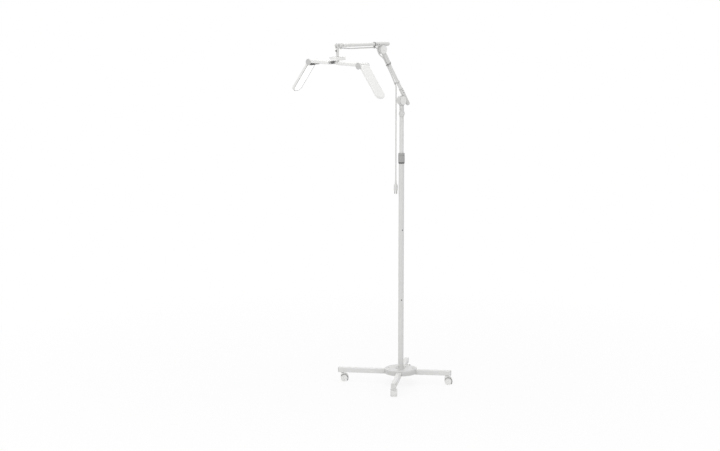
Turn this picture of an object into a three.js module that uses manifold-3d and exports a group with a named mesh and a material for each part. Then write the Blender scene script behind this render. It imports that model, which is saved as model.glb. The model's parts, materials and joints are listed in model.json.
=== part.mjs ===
// Rolling floor lamp: four-leg caster base, telescopic pole, two-part hinged arm and a two-wing LED head.
// Millimetres, +Z up. Modelled with the pole's axis on X = Y = 0 and the floor at Z = 0, the boom reaching
// towards -Y, then moved so that the origin is the bottom centre of the lamp's box without its lead.
import * as THREE from 'three';
import { mergeVertices } from 'three/addons/utils/BufferGeometryUtils.js';
import Module from 'manifold-3d';

const wasm = await Module();
wasm.setup();

// fits
const seatGap = 0.3; // between faces that rest on each other
const runGap = 0.35; // round running fits

// base
const legSize = 25;
const legWall = 2;
const legCorner = 3;
const insertCorner = 1.6;
const legBottomZ = 48;
const legTurnDeg = 37;
const longLeg = 324;
const shortLeg = 259;
const legPlugDepth = 42;
const legPlugFace = 3;
const spiderReach = 58;
const hubRadius = 84;
const hubTopZ = 79;
const hubHeight = 25;
const hubWall = 2.5;
const hubEdgeRadius = 4;
const flangeRadius = 34;
const flangeThickness = 2.8;

// casters
const wheelRadius = 18;
const wheelWidth = 13;
const wheelGap = 7.2;
const axleRadius = 3;
const hoodWall = 1.8;
const hoodClearance = 1.4;
const webThickness = 5.6;
const casterTrail = 8;
const stemRadius = 5;
const stemInset = 20;
const stemEmbed = 16;

// pole
const lowerPoleRadius = 14;
const lowerPoleWall = 1.5;
const upperPoleRadius = 11;
const upperPoleWall = 1.2;
const lowerPoleTopZ = 1172;
const upperPoleBottomZ = 838;
const upperPoleTopZ = 1388;
const collarBottomZ = 1148;
const collarHeight = 54;
const collarRadius = 16.5;
const guideBushHeight = 26;
const spigotRadius = 7.8;
const spigotHeight = 34;
const spigotInsert = 30;
const spigotFlange = 2.2;
const flangeSpigotHeight = 36;

// hinges of the arm: a front half with a radial sleeve and a rear half with a tangential sleeve
const shoulderZ = 1470;
const drumRadius = 23;
const drumDepth = 26;
const drumCapThickness = 2.6;
const drumBoltRadius = 4;
const drumBoltHead = 8;
const drumBoltHeadDepth = 5;
const sleeveRadius = 10.5;
const sleeveClear = 4; // from the drum's edge to the axis of the sleeve beside it
const sleeveOffset = drumRadius + sleeveClear;
const sleeveFront = 52;
const sleeveBack = 50;
const sleeveSocket = 34;
const radialSleeveRadius = 11.3;
const postRadius = 11.6;

// arm
const armTubeRadius = 8.5;
const armTubeWall = 1.2;
const lowerArmLength = 300;
const lowerArmLeanDeg = 33.6;
const elbowSleeveLength = 84;
const boomLength = 311;
const boomRiseDeg = 1.4;
const forkSleeveLength = 19;
const forkSocket = 14;
const tongueThickness = 8;
const knuckleRadius = 10;
const knuckleReach = 10;
const clampKnobRadius = 16;
const clampKnobDepth = 15;
const clampKnobZ = 1406;
const clampKnobTurnDeg = -45;
const knobScrewRadius = 3;

// head
const clevisWidth = 18;
const stemTubeRadius = 7;
const stemBottomDrop = 53.5;
const headPinRadius = 2.5;
const headKnobRadius = 6;
const headSpigotRadius = 5;
const headSpigotHeight = 30;
const swivelScrewDrop = 26;
const swivelKnobRadius = 4.5;
const boxSizeX = 48;
const boxSizeY = 73;
const boxHeight = 17;
const boxLidHeight = 5;
const boxCorner = 9;
const boxWall = 2;
const buttonRadius = 4.5;
const buttonProud = 1;
const buttonTravel = 0.8;
const buttonSpacing = 14;
const buttonFromFront = 14;
const bossRadius = 9;
const bossHeight = 22;
const bracketHalfLength = 54;
const bracketHalfWidth = 12;
const bracketThickness = 5;

// links and wings
const linkInnerX = 33;
const linkThickness = 17;
const linkCorner = 5;
const linkTopDrop = 5;
const wingHingeX = 174;
const wingHingeDrop = 13;
const wingDroopDeg = 51;
const earRadius = 15;
const earThickness = 5;
const barrelRadius = 12;
const barrelClearance = 1.2;
const wingPinRadius = 3;
const wingCapRadius = 16.7;
const wingCapThickness = 2.2;
const wingLength = 196;
const wingHalfWidth = 28;
const linkHalfWidth = wingHalfWidth + 3.5;
const wingThickness = 13;
const wingUnderside = 1;
const wingWall = 2;
const wingTipRadius = 24;
const wingRootClear = 1;
const diffuserThickness = 2.4;
const ledBoardThickness = 1.4;
const ledBoardHeight = 6;

// lead
const cordRadius = 3;
const cordSides = 8;
const reliefLength = 23;
const plugSize = 18;
const plugLength = 32;
const bladeLength = 17;
const clipWall = 1.6;
const clipWidth = 6;
const hangX = -21;
const hangY = -19.5;
const hangBottomZ = 1063.3;
const leaveClip = [[-11.2, 11.9, 8.5], [-8, 8.3, 20], [-4.6, 4.7, 33], [-1.8, 1.8, 48], [-0.4, 0.4, 64]];

const round = 32;
const white = 0xf2f2f0;
const softWhite = 0xe6e6e4;
const grey = 0x8f9092;
const darkGrey = 0x3c3d40;
const steel = 0xb9babc;

// ---------- helpers ----------

function finish(color, roughness = 0.5, metalness = 0) {
  return new THREE.MeshStandardMaterial({ color, roughness, metalness });
}

// A closed geometry as a manifold solid.
function solid(geometry) {
  const bare = geometry.index ? geometry.toNonIndexed() : geometry.clone();
  bare.deleteAttribute('normal');
  bare.deleteAttribute('uv');
  const merged = mergeVertices(bare, 1e-4);
  const index = merged.index.array;
  const kept = [];
  for (let i = 0; i < index.length; i += 3) {
    const [a, b, c] = [index[i], index[i + 1], index[i + 2]];
    if (a !== b && b !== c && c !== a) kept.push(a, b, c);
  }
  return new wasm.Manifold(new wasm.Mesh({
    numProp: 3,
    vertProperties: Float32Array.from(merged.attributes.position.array),
    triVerts: Uint32Array.from(kept),
  }));
}

// A manifold solid as a geometry.
function shape(manifold) {
  const data = manifold.getMesh();
  const geometry = new THREE.BufferGeometry();
  geometry.setAttribute('position', new THREE.BufferAttribute(Float32Array.from(data.vertProperties), 3));
  geometry.setIndex(new THREE.BufferAttribute(Uint32Array.from(data.triVerts), 1));
  geometry.computeVertexNormals();
  return geometry;
}

function join(...geometries) {
  return shape(geometries.map(solid).reduce((a, b) => a.add(b)));
}

function cut(geometry, ...tools) {
  return shape(tools.map(solid).reduce((a, b) => a.subtract(b), solid(geometry)));
}

function part(parent, name, geometry, material) {
  const mesh = new THREE.Mesh(geometry, material);
  mesh.name = name;
  parent.add(mesh);
  return mesh;
}

function group(parent, x = 0, y = 0, z = 0) {
  const made = new THREE.Group();
  made.position.set(x, y, z);
  parent.add(made);
  return made;
}

const deg = THREE.MathUtils.degToRad;

// Solid cylinders along each axis, from one end to the other.
function rodZ(radius, z0, z1, sides = round) {
  const rod = new THREE.CylinderGeometry(radius, radius, z1 - z0, sides);
  return rod.rotateX(Math.PI / 2).translate(0, 0, (z0 + z1) / 2);
}

function rodX(radius, x0, x1, sides = round) {
  const rod = new THREE.CylinderGeometry(radius, radius, x1 - x0, sides);
  return rod.rotateZ(Math.PI / 2).translate((x0 + x1) / 2, 0, 0);
}

function rodY(radius, y0, y1, sides = round) {
  const rod = new THREE.CylinderGeometry(radius, radius, y1 - y0, sides);
  return rod.translate(0, (y0 + y1) / 2, 0);
}

function block(x0, x1, y0, y1, z0, z1) {
  const box = new THREE.BoxGeometry(x1 - x0, y1 - y0, z1 - z0);
  return box.translate((x0 + x1) / 2, (y0 + y1) / 2, (z0 + z1) / 2);
}

// A turned solid about Z from [radius, z] points that start and end on the axis.
function turned(points, sides = round) {
  const lathe = new THREE.LatheGeometry(points.map(([r, z]) => new THREE.Vector2(r, z)), sides);
  return lathe.rotateX(Math.PI / 2);
}

function pipeZ(outer, inner, z0, z1, sides = round) {
  return turned([[inner, z0], [outer, z0], [outer, z1], [inner, z1], [inner, z0]], sides);
}

// A plate outline with rounded corners, extruded upwards from z0 to z1.
function roundedOutline(x0, x1, y0, y1, radius) {
  const outline = new THREE.Shape();
  outline.moveTo(x0 + radius, y0);
  outline.lineTo(x1 - radius, y0);
  outline.absarc(x1 - radius, y0 + radius, radius, -Math.PI / 2, 0);
  outline.lineTo(x1, y1 - radius);
  outline.absarc(x1 - radius, y1 - radius, radius, 0, Math.PI / 2);
  outline.lineTo(x0 + radius, y1);
  outline.absarc(x0 + radius, y1 - radius, radius, Math.PI / 2, Math.PI);
  outline.lineTo(x0, y0 + radius);
  outline.absarc(x0 + radius, y0 + radius, radius, Math.PI, Math.PI * 1.5);
  return outline;
}

function slab(outline, z0, z1, curveSegments = 5) {
  const made = new THREE.ExtrudeGeometry(outline, { depth: z1 - z0, bevelEnabled: false, curveSegments });
  return made.translate(0, 0, z0);
}

// A bar with a rounded section, running along X.
function barX(x0, x1, halfY, z0, z1, radius, curveSegments = 3) {
  const middle = (z0 + z1) / 2;
  const half = (z1 - z0) / 2;
  const made = slab(roundedOutline(-halfY, halfY, -half, half, radius), x0, x1, curveSegments);
  return made.applyMatrix4(new THREE.Matrix4().makeBasis(
    new THREE.Vector3(0, 1, 0), new THREE.Vector3(0, 0, 1), new THREE.Vector3(1, 0, 0),
  )).translate(0, 0, middle);
}

const lamp = new THREE.Group();
const legTopZ = legBottomZ + legSize;
const flangeBottomZ = legTopZ + seatGap;
const flangeTopZ = flangeBottomZ + flangeThickness;

// ---------- base ----------

const legs = [
  { side: 'left', turn: 180 + legTurnDeg, length: longLeg, axleDeg: -45 },
  { side: 'front', turn: 270 + legTurnDeg, length: longLeg - 12, axleDeg: 45 },
  { side: 'right', turn: legTurnDeg, length: shortLeg, axleDeg: -45 },
  { side: 'rear', turn: 90 + legTurnDeg, length: shortLeg, axleDeg: 20 },
];

function legTube(length) {
  const start = legSize / 2 + seatGap;
  const outer = barX(start, length, legSize / 2, legBottomZ, legTopZ, legCorner);
  const bore = legSize / 2 - legWall;
  const inner = barX(start - 1, length + 1, bore, legBottomZ + legWall, legTopZ - legWall, legCorner - legWall + 0.2);
  const stemHole = rodZ(stemRadius + runGap, legBottomZ - 1, legBottomZ + legWall + 1, 20)
    .translate(length - stemInset, 0, 0);
  return cut(outer, inner, stemHole);
}

function legPlug(length) {
  const half = legSize / 2 - legWall - seatGap;
  const insert = barX(length - legPlugDepth, length + legPlugFace / 2, half,
    legBottomZ + legWall + seatGap, legTopZ - legWall - seatGap, insertCorner);
  const face = barX(length + seatGap, length + seatGap + legPlugFace, legSize / 2, legBottomZ, legTopZ, legCorner);
  const socket = rodZ(stemRadius + runGap, legBottomZ - 1, legBottomZ + legWall + stemEmbed, 20)
    .translate(length - stemInset, 0, 0);
  return cut(join(insert, face), socket);
}

// Caster, in a frame with its stem on Z and its axle along X.
function casterHood() {
  const axleZ = wheelRadius;
  const inner = wheelRadius + hoodClearance;
  const outer = inner + hoodWall;
  const half = wheelGap / 2 + wheelWidth - 0.8;
  const ring = cut(rodX(outer, -half, half, 28), rodX(inner, -half - 1, half + 1, 28));
  const away = block(-half - 1, half + 1, -outer - 1, outer + 1, -outer - 1, 0);
  const low = block(-half - 1, half + 1, inner * 0.55, outer + 1, -1, inner * 0.55);
  const cover = cut(ring, away, low);
  const web = rodX(wheelRadius * 0.72, -webThickness / 2, webThickness / 2, 24);
  const crown = block(-webThickness / 2, webThickness / 2, -wheelRadius * 0.6, wheelRadius * 0.6, 0, inner + 0.6);
  const wheelSide = join(cover, web, crown).translate(0, casterTrail, axleZ);
  const neck = rodZ(stemRadius + 2.5, axleZ + inner - 3, legBottomZ - seatGap * 2, 20);
  const stem = rodZ(stemRadius, axleZ + inner - 2, legBottomZ + legWall + stemEmbed - 1, 20);
  const axleHole = rodX(axleRadius + runGap, -half, half, 20).translate(0, casterTrail, axleZ);
  const wheelRoom = [-1, 1].map((side) => {
    const near = side * (webThickness / 2 + 0.25);
    const far = side * (half + 5);
    return rodX(inner, Math.min(near, far), Math.max(near, far), 28).translate(0, casterTrail, axleZ);
  });
  return cut(join(wheelSide, neck, stem), axleHole, ...wheelRoom);
}

function casterWheels() {
  const near = wheelGap / 2;
  const far = near + wheelWidth;
  const edge = 2;
  const profile = [
    [0, -far], [wheelRadius - edge, -far], [wheelRadius, -far + edge], [wheelRadius, -near], [axleRadius, -near],
    [axleRadius, near], [wheelRadius, near], [wheelRadius, far - edge], [wheelRadius - edge, far], [0, far],
  ];
  return turned(profile, 32).rotateY(Math.PI / 2).translate(0, casterTrail, wheelRadius);
}

const poleClear = lowerPoleRadius + seatGap * 2;

function addBase() {
  for (const leg of legs) {
    const arm = group(lamp);
    arm.rotation.z = deg(leg.turn);
    part(arm, `leg_${leg.side}`, legTube(leg.length), finish(softWhite, 0.45, 0.2));
    part(arm, `leg_plug_${leg.side}`, legPlug(leg.length), finish(white, 0.55));
    const caster = group(arm, leg.length - stemInset, 0, 0);
    caster.rotation.z = deg(leg.axleDeg - leg.turn);
    part(caster, `caster_${leg.side}_hood`, casterHood(), finish(white, 0.5));
    part(caster, `caster_${leg.side}_wheels`, casterWheels(), finish(softWhite, 0.5));
  }

  const half = legSize / 2 - legWall - seatGap;
  const bars = [0, 1].map((i) => barX(-spiderReach, spiderReach, half, legBottomZ + legWall + seatGap,
    legTopZ - legWall - seatGap, insertCorner).rotateZ(deg(legTurnDeg + 90 * i)));
  const core = block(-legSize / 2, legSize / 2, -legSize / 2, legSize / 2, legBottomZ, legTopZ);
  core.rotateZ(deg(legTurnDeg));
  part(lamp, 'hub_spider', join(...bars, core), finish(steel, 0.4, 0.8));

  const bottomZ = hubTopZ - hubHeight;
  const innerR = hubRadius - hubWall;
  const rim = [[0, hubTopZ - hubWall], [innerR, hubTopZ - hubWall], [innerR, bottomZ], [hubRadius, bottomZ]];
  for (let i = 0; i <= 4; i += 1) {
    const a = (i / 4) * Math.PI / 2;
    rim.push([hubRadius - hubEdgeRadius * (1 - Math.cos(a)), hubTopZ - hubEdgeRadius * (1 - Math.sin(a))]);
  }
  rim.push([0, hubTopZ]);
  const poleHole = rodZ(poleClear, hubTopZ - hubHeight, hubTopZ + 1, 32);
  const notches = legs.map((leg) => block(hubRadius - 12, hubRadius + 8, -legSize / 2 - seatGap,
    legSize / 2 + seatGap, bottomZ - 1, legTopZ + seatGap).rotateZ(deg(leg.turn)));
  part(lamp, 'hub_cover', cut(turned(rim, 48), poleHole, ...notches), finish(softWhite, 0.45));

  const foot = lowerPoleRadius - lowerPoleWall - seatGap;
  const flange = [[0, flangeBottomZ], [flangeRadius, flangeBottomZ], [flangeRadius, flangeTopZ], [foot, flangeTopZ],
    [foot, flangeTopZ + flangeSpigotHeight], [0, flangeTopZ + flangeSpigotHeight]];
  part(lamp, 'pole_flange', turned(flange), finish(steel, 0.4, 0.8));
}

// ---------- pole ----------

const spigotBaseZ = upperPoleTopZ + seatGap;
const postBottomZ = spigotBaseZ + spigotFlange + seatGap;

function addPole() {
  part(lamp, 'lower_pole', pipeZ(lowerPoleRadius, lowerPoleRadius - lowerPoleWall, flangeTopZ + seatGap, lowerPoleTopZ),
    finish(softWhite, 0.4, 0.2));
  part(lamp, 'upper_pole', pipeZ(upperPoleRadius, upperPoleRadius - upperPoleWall, upperPoleBottomZ, upperPoleTopZ),
    finish(softWhite, 0.35, 0.3));

  const collarTopZ = collarBottomZ + collarHeight;
  const smallBore = upperPoleRadius + runGap;
  const bigBore = lowerPoleRadius + seatGap;
  const stepZ = lowerPoleTopZ + seatGap;
  const neckZ = collarBottomZ + 7;
  const collar = [[bigBore, collarBottomZ], [collarRadius - 0.8, collarBottomZ], [collarRadius - 0.8, neckZ],
    [collarRadius, neckZ + 0.8], [collarRadius, collarTopZ - 1.5], [collarRadius - 1.5, collarTopZ],
    [smallBore, collarTopZ], [smallBore, stepZ], [bigBore, stepZ], [bigBore, collarBottomZ]];
  part(lamp, 'lock_collar', turned(collar), finish(grey, 0.6));

  const bushR = lowerPoleRadius - lowerPoleWall - runGap;
  const insertR = upperPoleRadius - upperPoleWall - seatGap;
  const bushTopZ = upperPoleBottomZ - seatGap;
  const bush = [[0, bushTopZ - guideBushHeight], [bushR, bushTopZ - guideBushHeight], [bushR, bushTopZ],
    [insertR, bushTopZ], [insertR, bushTopZ + guideBushHeight], [0, bushTopZ + guideBushHeight]];
  part(lamp, 'guide_bush', turned(bush, 24), finish(darkGrey, 0.6));

  const topZ = spigotBaseZ + spigotFlange;
  const spigot = [[0, upperPoleTopZ - spigotInsert], [insertR, upperPoleTopZ - spigotInsert], [insertR, spigotBaseZ],
    [upperPoleRadius, spigotBaseZ], [upperPoleRadius, topZ], [spigotRadius, topZ],
    [spigotRadius, topZ + spigotHeight], [0, topZ + spigotHeight]];
  part(lamp, 'pole_top_spigot', turned(spigot, 28), finish(grey, 0.4, 0.6));
}

// ---------- hinges, each in a frame with its axis on X ----------

const halfDepth = drumDepth / 2;
const faceX = halfDepth - drumCapThickness - seatGap;
const drumClear = drumRadius + 0.5;

function drumBore() {
  return rodX(drumBoltRadius + runGap, -halfDepth - 1, halfDepth + 1, 20);
}

// Front half: a drum on +X with a sleeve that points along -Z, from the drum to -reach.
function radialHalf(radius, reach, socketRadius, socketDepth) {
  const drum = rodX(drumRadius, seatGap / 2, faceX);
  const rearRoom = rodX(drumClear, -radius - 1, seatGap / 2);
  const capRoom = rodX(drumClear, faceX, halfDepth + 1);
  const sleeve = cut(rodZ(radius, -reach, 0, 28), rearRoom, capRoom);
  const socket = rodZ(socketRadius, -reach - 1, -reach + socketDepth, 28);
  return cut(join(drum, sleeve), drumBore(), socket);
}

// Rear half: a drum on -X with a sleeve along Z that is set off to +Y, round at its lower end.
function tangentHalf() {
  const drum = rodX(drumRadius, -halfDepth, -seatGap / 2);
  const dome = [[0, -sleeveBack]];
  for (let i = 1; i <= 5; i += 1) {
    const a = (i / 5) * Math.PI / 2;
    dome.push([sleeveRadius * Math.sin(a), -sleeveBack + sleeveRadius * (1 - Math.cos(a))]);
  }
  const sleeve = turned([...dome, [sleeveRadius, sleeveFront], [0, sleeveFront]], 28).translate(0, sleeveOffset, 0);
  const room = rodX(drumClear, -seatGap / 2, halfDepth + 1);
  const socket = rodZ(armTubeRadius + seatGap, sleeveFront - sleeveSocket, sleeveFront + 1, 28)
    .translate(0, sleeveOffset, 0);
  const headRoom = rodX(drumBoltHead + seatGap, -halfDepth - 1, -halfDepth + drumBoltHeadDepth + seatGap, 24);
  return cut(join(drum, cut(sleeve, room)), drumBore(), socket, headRoom);
}

function drumCap() {
  const edge = 1.1;
  const x0 = halfDepth - drumCapThickness;
  const profile = [[0, x0], [drumRadius, x0], [drumRadius, halfDepth - edge], [drumRadius - edge, halfDepth], [0, halfDepth]];
  return turned(profile).rotateY(Math.PI / 2);
}

function drumBolt() {
  const head = -halfDepth + 0.6;
  const shank = -halfDepth + drumBoltHeadDepth;
  const profile = [[0, head], [drumBoltHead, head], [drumBoltHead, shank], [drumBoltRadius, shank],
    [drumBoltRadius, faceX - 0.5], [0, faceX - 0.5]];
  return turned(profile, 24).rotateY(Math.PI / 2);
}

function armTube(z0, z1) {
  return pipeZ(armTubeRadius, armTubeRadius - armTubeWall, z0, z1, 28).translate(0, sleeveOffset, 0);
}

const tubeStart = sleeveFront - sleeveSocket + seatGap;

// Clips that hold the lead: along the boom, at the top of the lower arm and low on the lower arm's tube.
// x and drop place the lead beside the tube's axis; z0 and z1 are the clip's ends along the tube.
const boomClip = { x: 0, drop: 16, z0: sleeveFront, z1: sleeveFront + clipWidth };
const armClip = {
  x: 0, drop: 15.4, z0: lowerArmLength - elbowSleeveLength - clipWidth, z1: lowerArmLength - elbowSleeveLength,
};
const lowClip = { x: -8, drop: 12.8, z0: 92, z1: 92 + clipWidth };
// Points of the loop round the elbow, in drum radii.
const elbowLoop = [
  [-1.265, 1.396], [-1.139, 1.083], [-1.13, 0.73], [-1.217, 0.365], [-1.27, 0.0],
  [-1.252, -0.422], [-1.109, -0.883], [-0.861, -1.413], [-0.696, -2.009],
];

// A clip round the arm's tube with an eye for the lead, in a frame with the tube's axis on Z.
function leadClip(clip, ringRadius, boreRadius) {
  const eye = rodZ(cordRadius + clipWall, clip.z0, clip.z1, 20).translate(clip.x, -clip.drop, 0);
  const reach = Math.hypot(clip.x, clip.drop);
  const bridge = block(-2.4, 2.4, -reach, -boreRadius - 0.4, clip.z0, clip.z1)
    .rotateZ(Math.atan2(-clip.drop, clip.x) + Math.PI / 2);
  const ring = rodZ(ringRadius, clip.z0, clip.z1, 28);
  const leadHole = rodZ(cordRadius + seatGap, clip.z0 - 1, clip.z1 + 1, 20).translate(clip.x, -clip.drop, 0);
  return cut(join(eye, bridge, ring), leadHole, rodZ(boreRadius, clip.z0 - 1, clip.z1 + 1, 28));
}

// ---------- arm ----------

const shoulder = group(lamp, 0, 0, shoulderZ);
const lowerArm = group(shoulder);
lowerArm.rotation.x = deg(lowerArmLeanDeg);
const elbow = group(lowerArm, 0, sleeveOffset, lowerArmLength);
const boom = group(elbow);
boom.rotation.x = deg(90 - boomRiseDeg - lowerArmLeanDeg);
const headPivot = group(boom, 0, sleeveOffset, boomLength);
const head = group(headPivot);
head.rotation.x = -deg(90 - boomRiseDeg);

function addArm() {
  const postReach = shoulderZ - postBottomZ;
  const socketDepth = spigotHeight + 2 * seatGap + 0.5;
  const knobTurn = deg(clampKnobTurnDeg);
  const knobHole = rodX(knobScrewRadius + runGap, 0, postRadius + 5, 16).rotateZ(knobTurn)
    .translate(0, 0, clampKnobZ - shoulderZ);
  const post = cut(radialHalf(postRadius, postReach, spigotRadius + runGap, socketDepth), knobHole);
  part(shoulder, 'arm_post', post, finish(white, 0.5));
  part(shoulder, 'shoulder_cap', drumCap(), finish(white, 0.5));
  part(shoulder, 'shoulder_bolt', drumBolt(), finish(steel, 0.3, 0.9));

  const screwTip = spigotRadius + seatGap * 2;
  const knobStart = postRadius + 3;
  const knobEnd = knobStart + clampKnobDepth;
  const knobProfile = [[0, screwTip], [knobScrewRadius, screwTip], [knobScrewRadius, knobStart],
    [clampKnobRadius - 1.5, knobStart], [clampKnobRadius, knobStart + 1.5], [clampKnobRadius, knobEnd - 3],
    [clampKnobRadius - 3, knobEnd], [0, knobEnd]];
  const knob = turned(knobProfile, 28).rotateY(Math.PI / 2).rotateZ(knobTurn);
  part(shoulder, 'clamp_knob', knob.translate(0, 0, clampKnobZ - shoulderZ), finish(softWhite, 0.55));

  part(lowerArm, 'shoulder_bracket', tangentHalf(), finish(white, 0.5));
  const tubeEnd = lowerArmLength - elbowSleeveLength + sleeveSocket;
  const tubeBore = armTubeRadius + seatGap;
  const lowerTube = cut(join(
    rodZ(armTubeRadius, tubeStart, tubeEnd, 28), leadClip(lowClip, armTubeRadius + clipWall, armTubeRadius - 0.5),
  ), rodZ(armTubeRadius - armTubeWall, tubeStart - 1, tubeEnd + 1, 28));
  part(lowerArm, 'lower_arm_tube', lowerTube.translate(0, sleeveOffset, 0), finish(softWhite, 0.35, 0.3));
  const elbowHalf = radialHalf(radialSleeveRadius, elbowSleeveLength, tubeBore, sleeveSocket + seatGap);
  const topClip = leadClip(armClip, radialSleeveRadius + 1, tubeBore).translate(0, 0, -lowerArmLength);
  part(elbow, 'elbow_bracket', join(elbowHalf, topClip), finish(white, 0.5));
  part(elbow, 'elbow_cap', drumCap(), finish(white, 0.5));
  part(elbow, 'elbow_bolt', drumBolt(), finish(steel, 0.3, 0.9));

  const rearClip = leadClip(boomClip, sleeveRadius + 1, tubeBore).translate(0, sleeveOffset, 0);
  part(boom, 'boom_bracket', join(tangentHalf(), rearClip), finish(white, 0.5));
  const sleeveStart = boomLength - knuckleReach - forkSleeveLength;
  part(boom, 'boom_tube', armTube(tubeStart, sleeveStart + forkSocket), finish(softWhite, 0.35, 0.3));
}

// Boom end, in a frame with the boom's axis on Z and the head's pivot at the origin.
const glandLength = 8;
const glandRadius = 4.6;
const gland = { y: sleeveOffset - sleeveRadius - cordRadius - 0.5, z: boomLength - knuckleReach - forkSleeveLength + 2 };

function boomFork() {
  const start = -knuckleReach - forkSleeveLength;
  const sleeve = rodZ(sleeveRadius, start, -knuckleReach, 28);
  const half = tongueThickness / 2;
  const tongue = join(
    block(-half, half, -knuckleRadius * 0.8, knuckleRadius * 0.8, -knuckleReach - 2, 0),
    rodX(knuckleRadius * 0.8, -half, half, 24),
  );
  const glandBody = rodZ(glandRadius, gland.z - boomLength, gland.z - boomLength + glandLength, 16)
    .translate(0, gland.y - sleeveOffset, 0);
  const socket = rodZ(armTubeRadius + seatGap, start - 1, start + forkSocket + seatGap, 28);
  const pinHole = rodX(headPinRadius + runGap, -half - 1, half + 1, 16);
  return cut(join(sleeve, tongue, glandBody), socket, pinHole);
}

// ---------- head, in a frame with the pivot at the origin and +Z up ----------

const boxTopZ = -stemBottomDrop - seatGap;
const boxBottomZ = boxTopZ - boxHeight;
const linkTopZ = boxBottomZ - linkTopDrop;
const linkBottomZ = linkTopZ - linkThickness;
const wingHingeZ = linkTopZ - wingHingeDrop;

function headClevis() {
  const half = clevisWidth / 2;
  const slot = tongueThickness / 2 + runGap;
  const cheeks = join(rodX(knuckleRadius, -half, half, 28), block(-half, half, -knuckleRadius * 0.75,
    knuckleRadius * 0.75, -knuckleRadius * 1.5, 0));
  const stem = rodZ(stemTubeRadius, -stemBottomDrop, -knuckleRadius * 1.2, 28);
  const room = block(-slot, slot, -knuckleRadius - 1, knuckleRadius + 1, -knuckleRadius - 0.5, knuckleRadius + 1);
  const pinHole = rodX(headPinRadius + runGap, -half - 1, half + 1, 16);
  const bore = rodZ(headSpigotRadius + runGap, -stemBottomDrop - 1, -stemBottomDrop + headSpigotHeight + 1, 24);
  const screwHole = rodY(knobScrewRadius * 0.7 + runGap, -stemTubeRadius - 2, 0, 16).translate(0, 0, -swivelScrewDrop);
  return cut(join(cheeks, stem), room, pinHole, bore, screwHole);
}

function headScrew() {
  const half = clevisWidth / 2;
  const start = half + seatGap;
  const profile = [[0, -start - 7], [headKnobRadius - 1, -start - 7], [headKnobRadius, -start - 6],
    [headKnobRadius, -start], [headPinRadius, -start], [headPinRadius, start], [headPinRadius + 2, start],
    [headPinRadius + 2, start + 2], [0, start + 2]];
  return turned(profile, 20).rotateY(Math.PI / 2);
}

function swivelScrew() {
  const shank = knobScrewRadius * 0.7;
  const start = stemTubeRadius + 1.2;
  const tip = headSpigotRadius + seatGap * 2;
  const profile = [[0, tip], [shank, tip], [shank, start], [swivelKnobRadius, start], [swivelKnobRadius, start + 5],
    [swivelKnobRadius - 1, start + 6], [0, start + 6]];
  return turned(profile, 20).rotateX(Math.PI / 2).translate(0, 0, -swivelScrewDrop);
}

function boxOutline(inset) {
  const x = boxSizeX / 2 - inset;
  const y = boxSizeY / 2 - inset;
  return roundedOutline(-x, x, -y, y, boxCorner - inset);
}

const buttonPlaces = [['power_button', -1], ['dimmer_button', 1]].map(([name, side]) => ({
  name, x: side * buttonSpacing / 2, y: -boxSizeY / 2 + buttonFromFront,
}));

function addBox() {
  const lidBottomZ = boxTopZ - boxLidHeight;
  const hollow = slab(boxOutline(boxWall), boxBottomZ + boxWall, lidBottomZ + 1);
  const tray = cut(slab(boxOutline(0), boxBottomZ, lidBottomZ - seatGap), hollow);
  part(head, 'box_tray', cut(tray, rodZ(2.2, boxBottomZ - 1, boxBottomZ + boxWall + 1, 16)), finish(white, 0.5));
  const holes = buttonPlaces.map((b) => rodZ(buttonRadius + runGap, lidBottomZ - 1, boxTopZ + 1, 20)
    .translate(b.x, b.y, 0));
  const under = slab(boxOutline(boxWall), lidBottomZ - 1, boxTopZ - boxWall);
  const lid = cut(slab(boxOutline(0), lidBottomZ, boxTopZ), under, rodZ(2.2, lidBottomZ, boxTopZ + 1, 16), ...holes);
  part(head, 'box_lid', lid, finish(white, 0.5));
  for (const b of buttonPlaces) {
    const flange = buttonRadius + runGap + 1.2;
    const shelf = boxTopZ - boxWall - seatGap;
    const profile = [[0, shelf - 1], [flange, shelf - 1], [flange, shelf], [buttonRadius, shelf],
      [buttonRadius, boxTopZ + buttonProud], [0, boxTopZ + buttonProud]];
    part(head, b.name, turned(profile, 20).translate(b.x, b.y, 0), finish(softWhite, 0.5));
  }
  const pinTop = -stemBottomDrop + headSpigotHeight;
  const washer = [[0, boxTopZ - boxWall - seatGap - 2], [7, boxTopZ - boxWall - seatGap - 2],
    [7, boxTopZ - boxWall - seatGap], [1.8, boxTopZ - boxWall - seatGap], [1.8, boxTopZ + 0.15],
    [headSpigotRadius, boxTopZ + 0.15], [headSpigotRadius, pinTop], [0, pinTop]];
  part(head, 'head_spigot', turned(washer, 24), finish(steel, 0.4, 0.8));
}

// ---------- links and wings ----------

function addCentreBracket() {
  const top = boxBottomZ - seatGap;
  const boss = rodZ(bossRadius, top - bossHeight, top, 28);
  const plateMiddle = (linkTopZ + linkBottomZ) / 2;
  const plate = block(-bracketHalfLength, bracketHalfLength, -bracketHalfWidth, bracketHalfWidth,
    plateMiddle - bracketThickness / 2, plateMiddle + bracketThickness / 2);
  part(head, 'centre_bracket', join(boss, plate), finish(white, 0.5));
}

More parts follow.
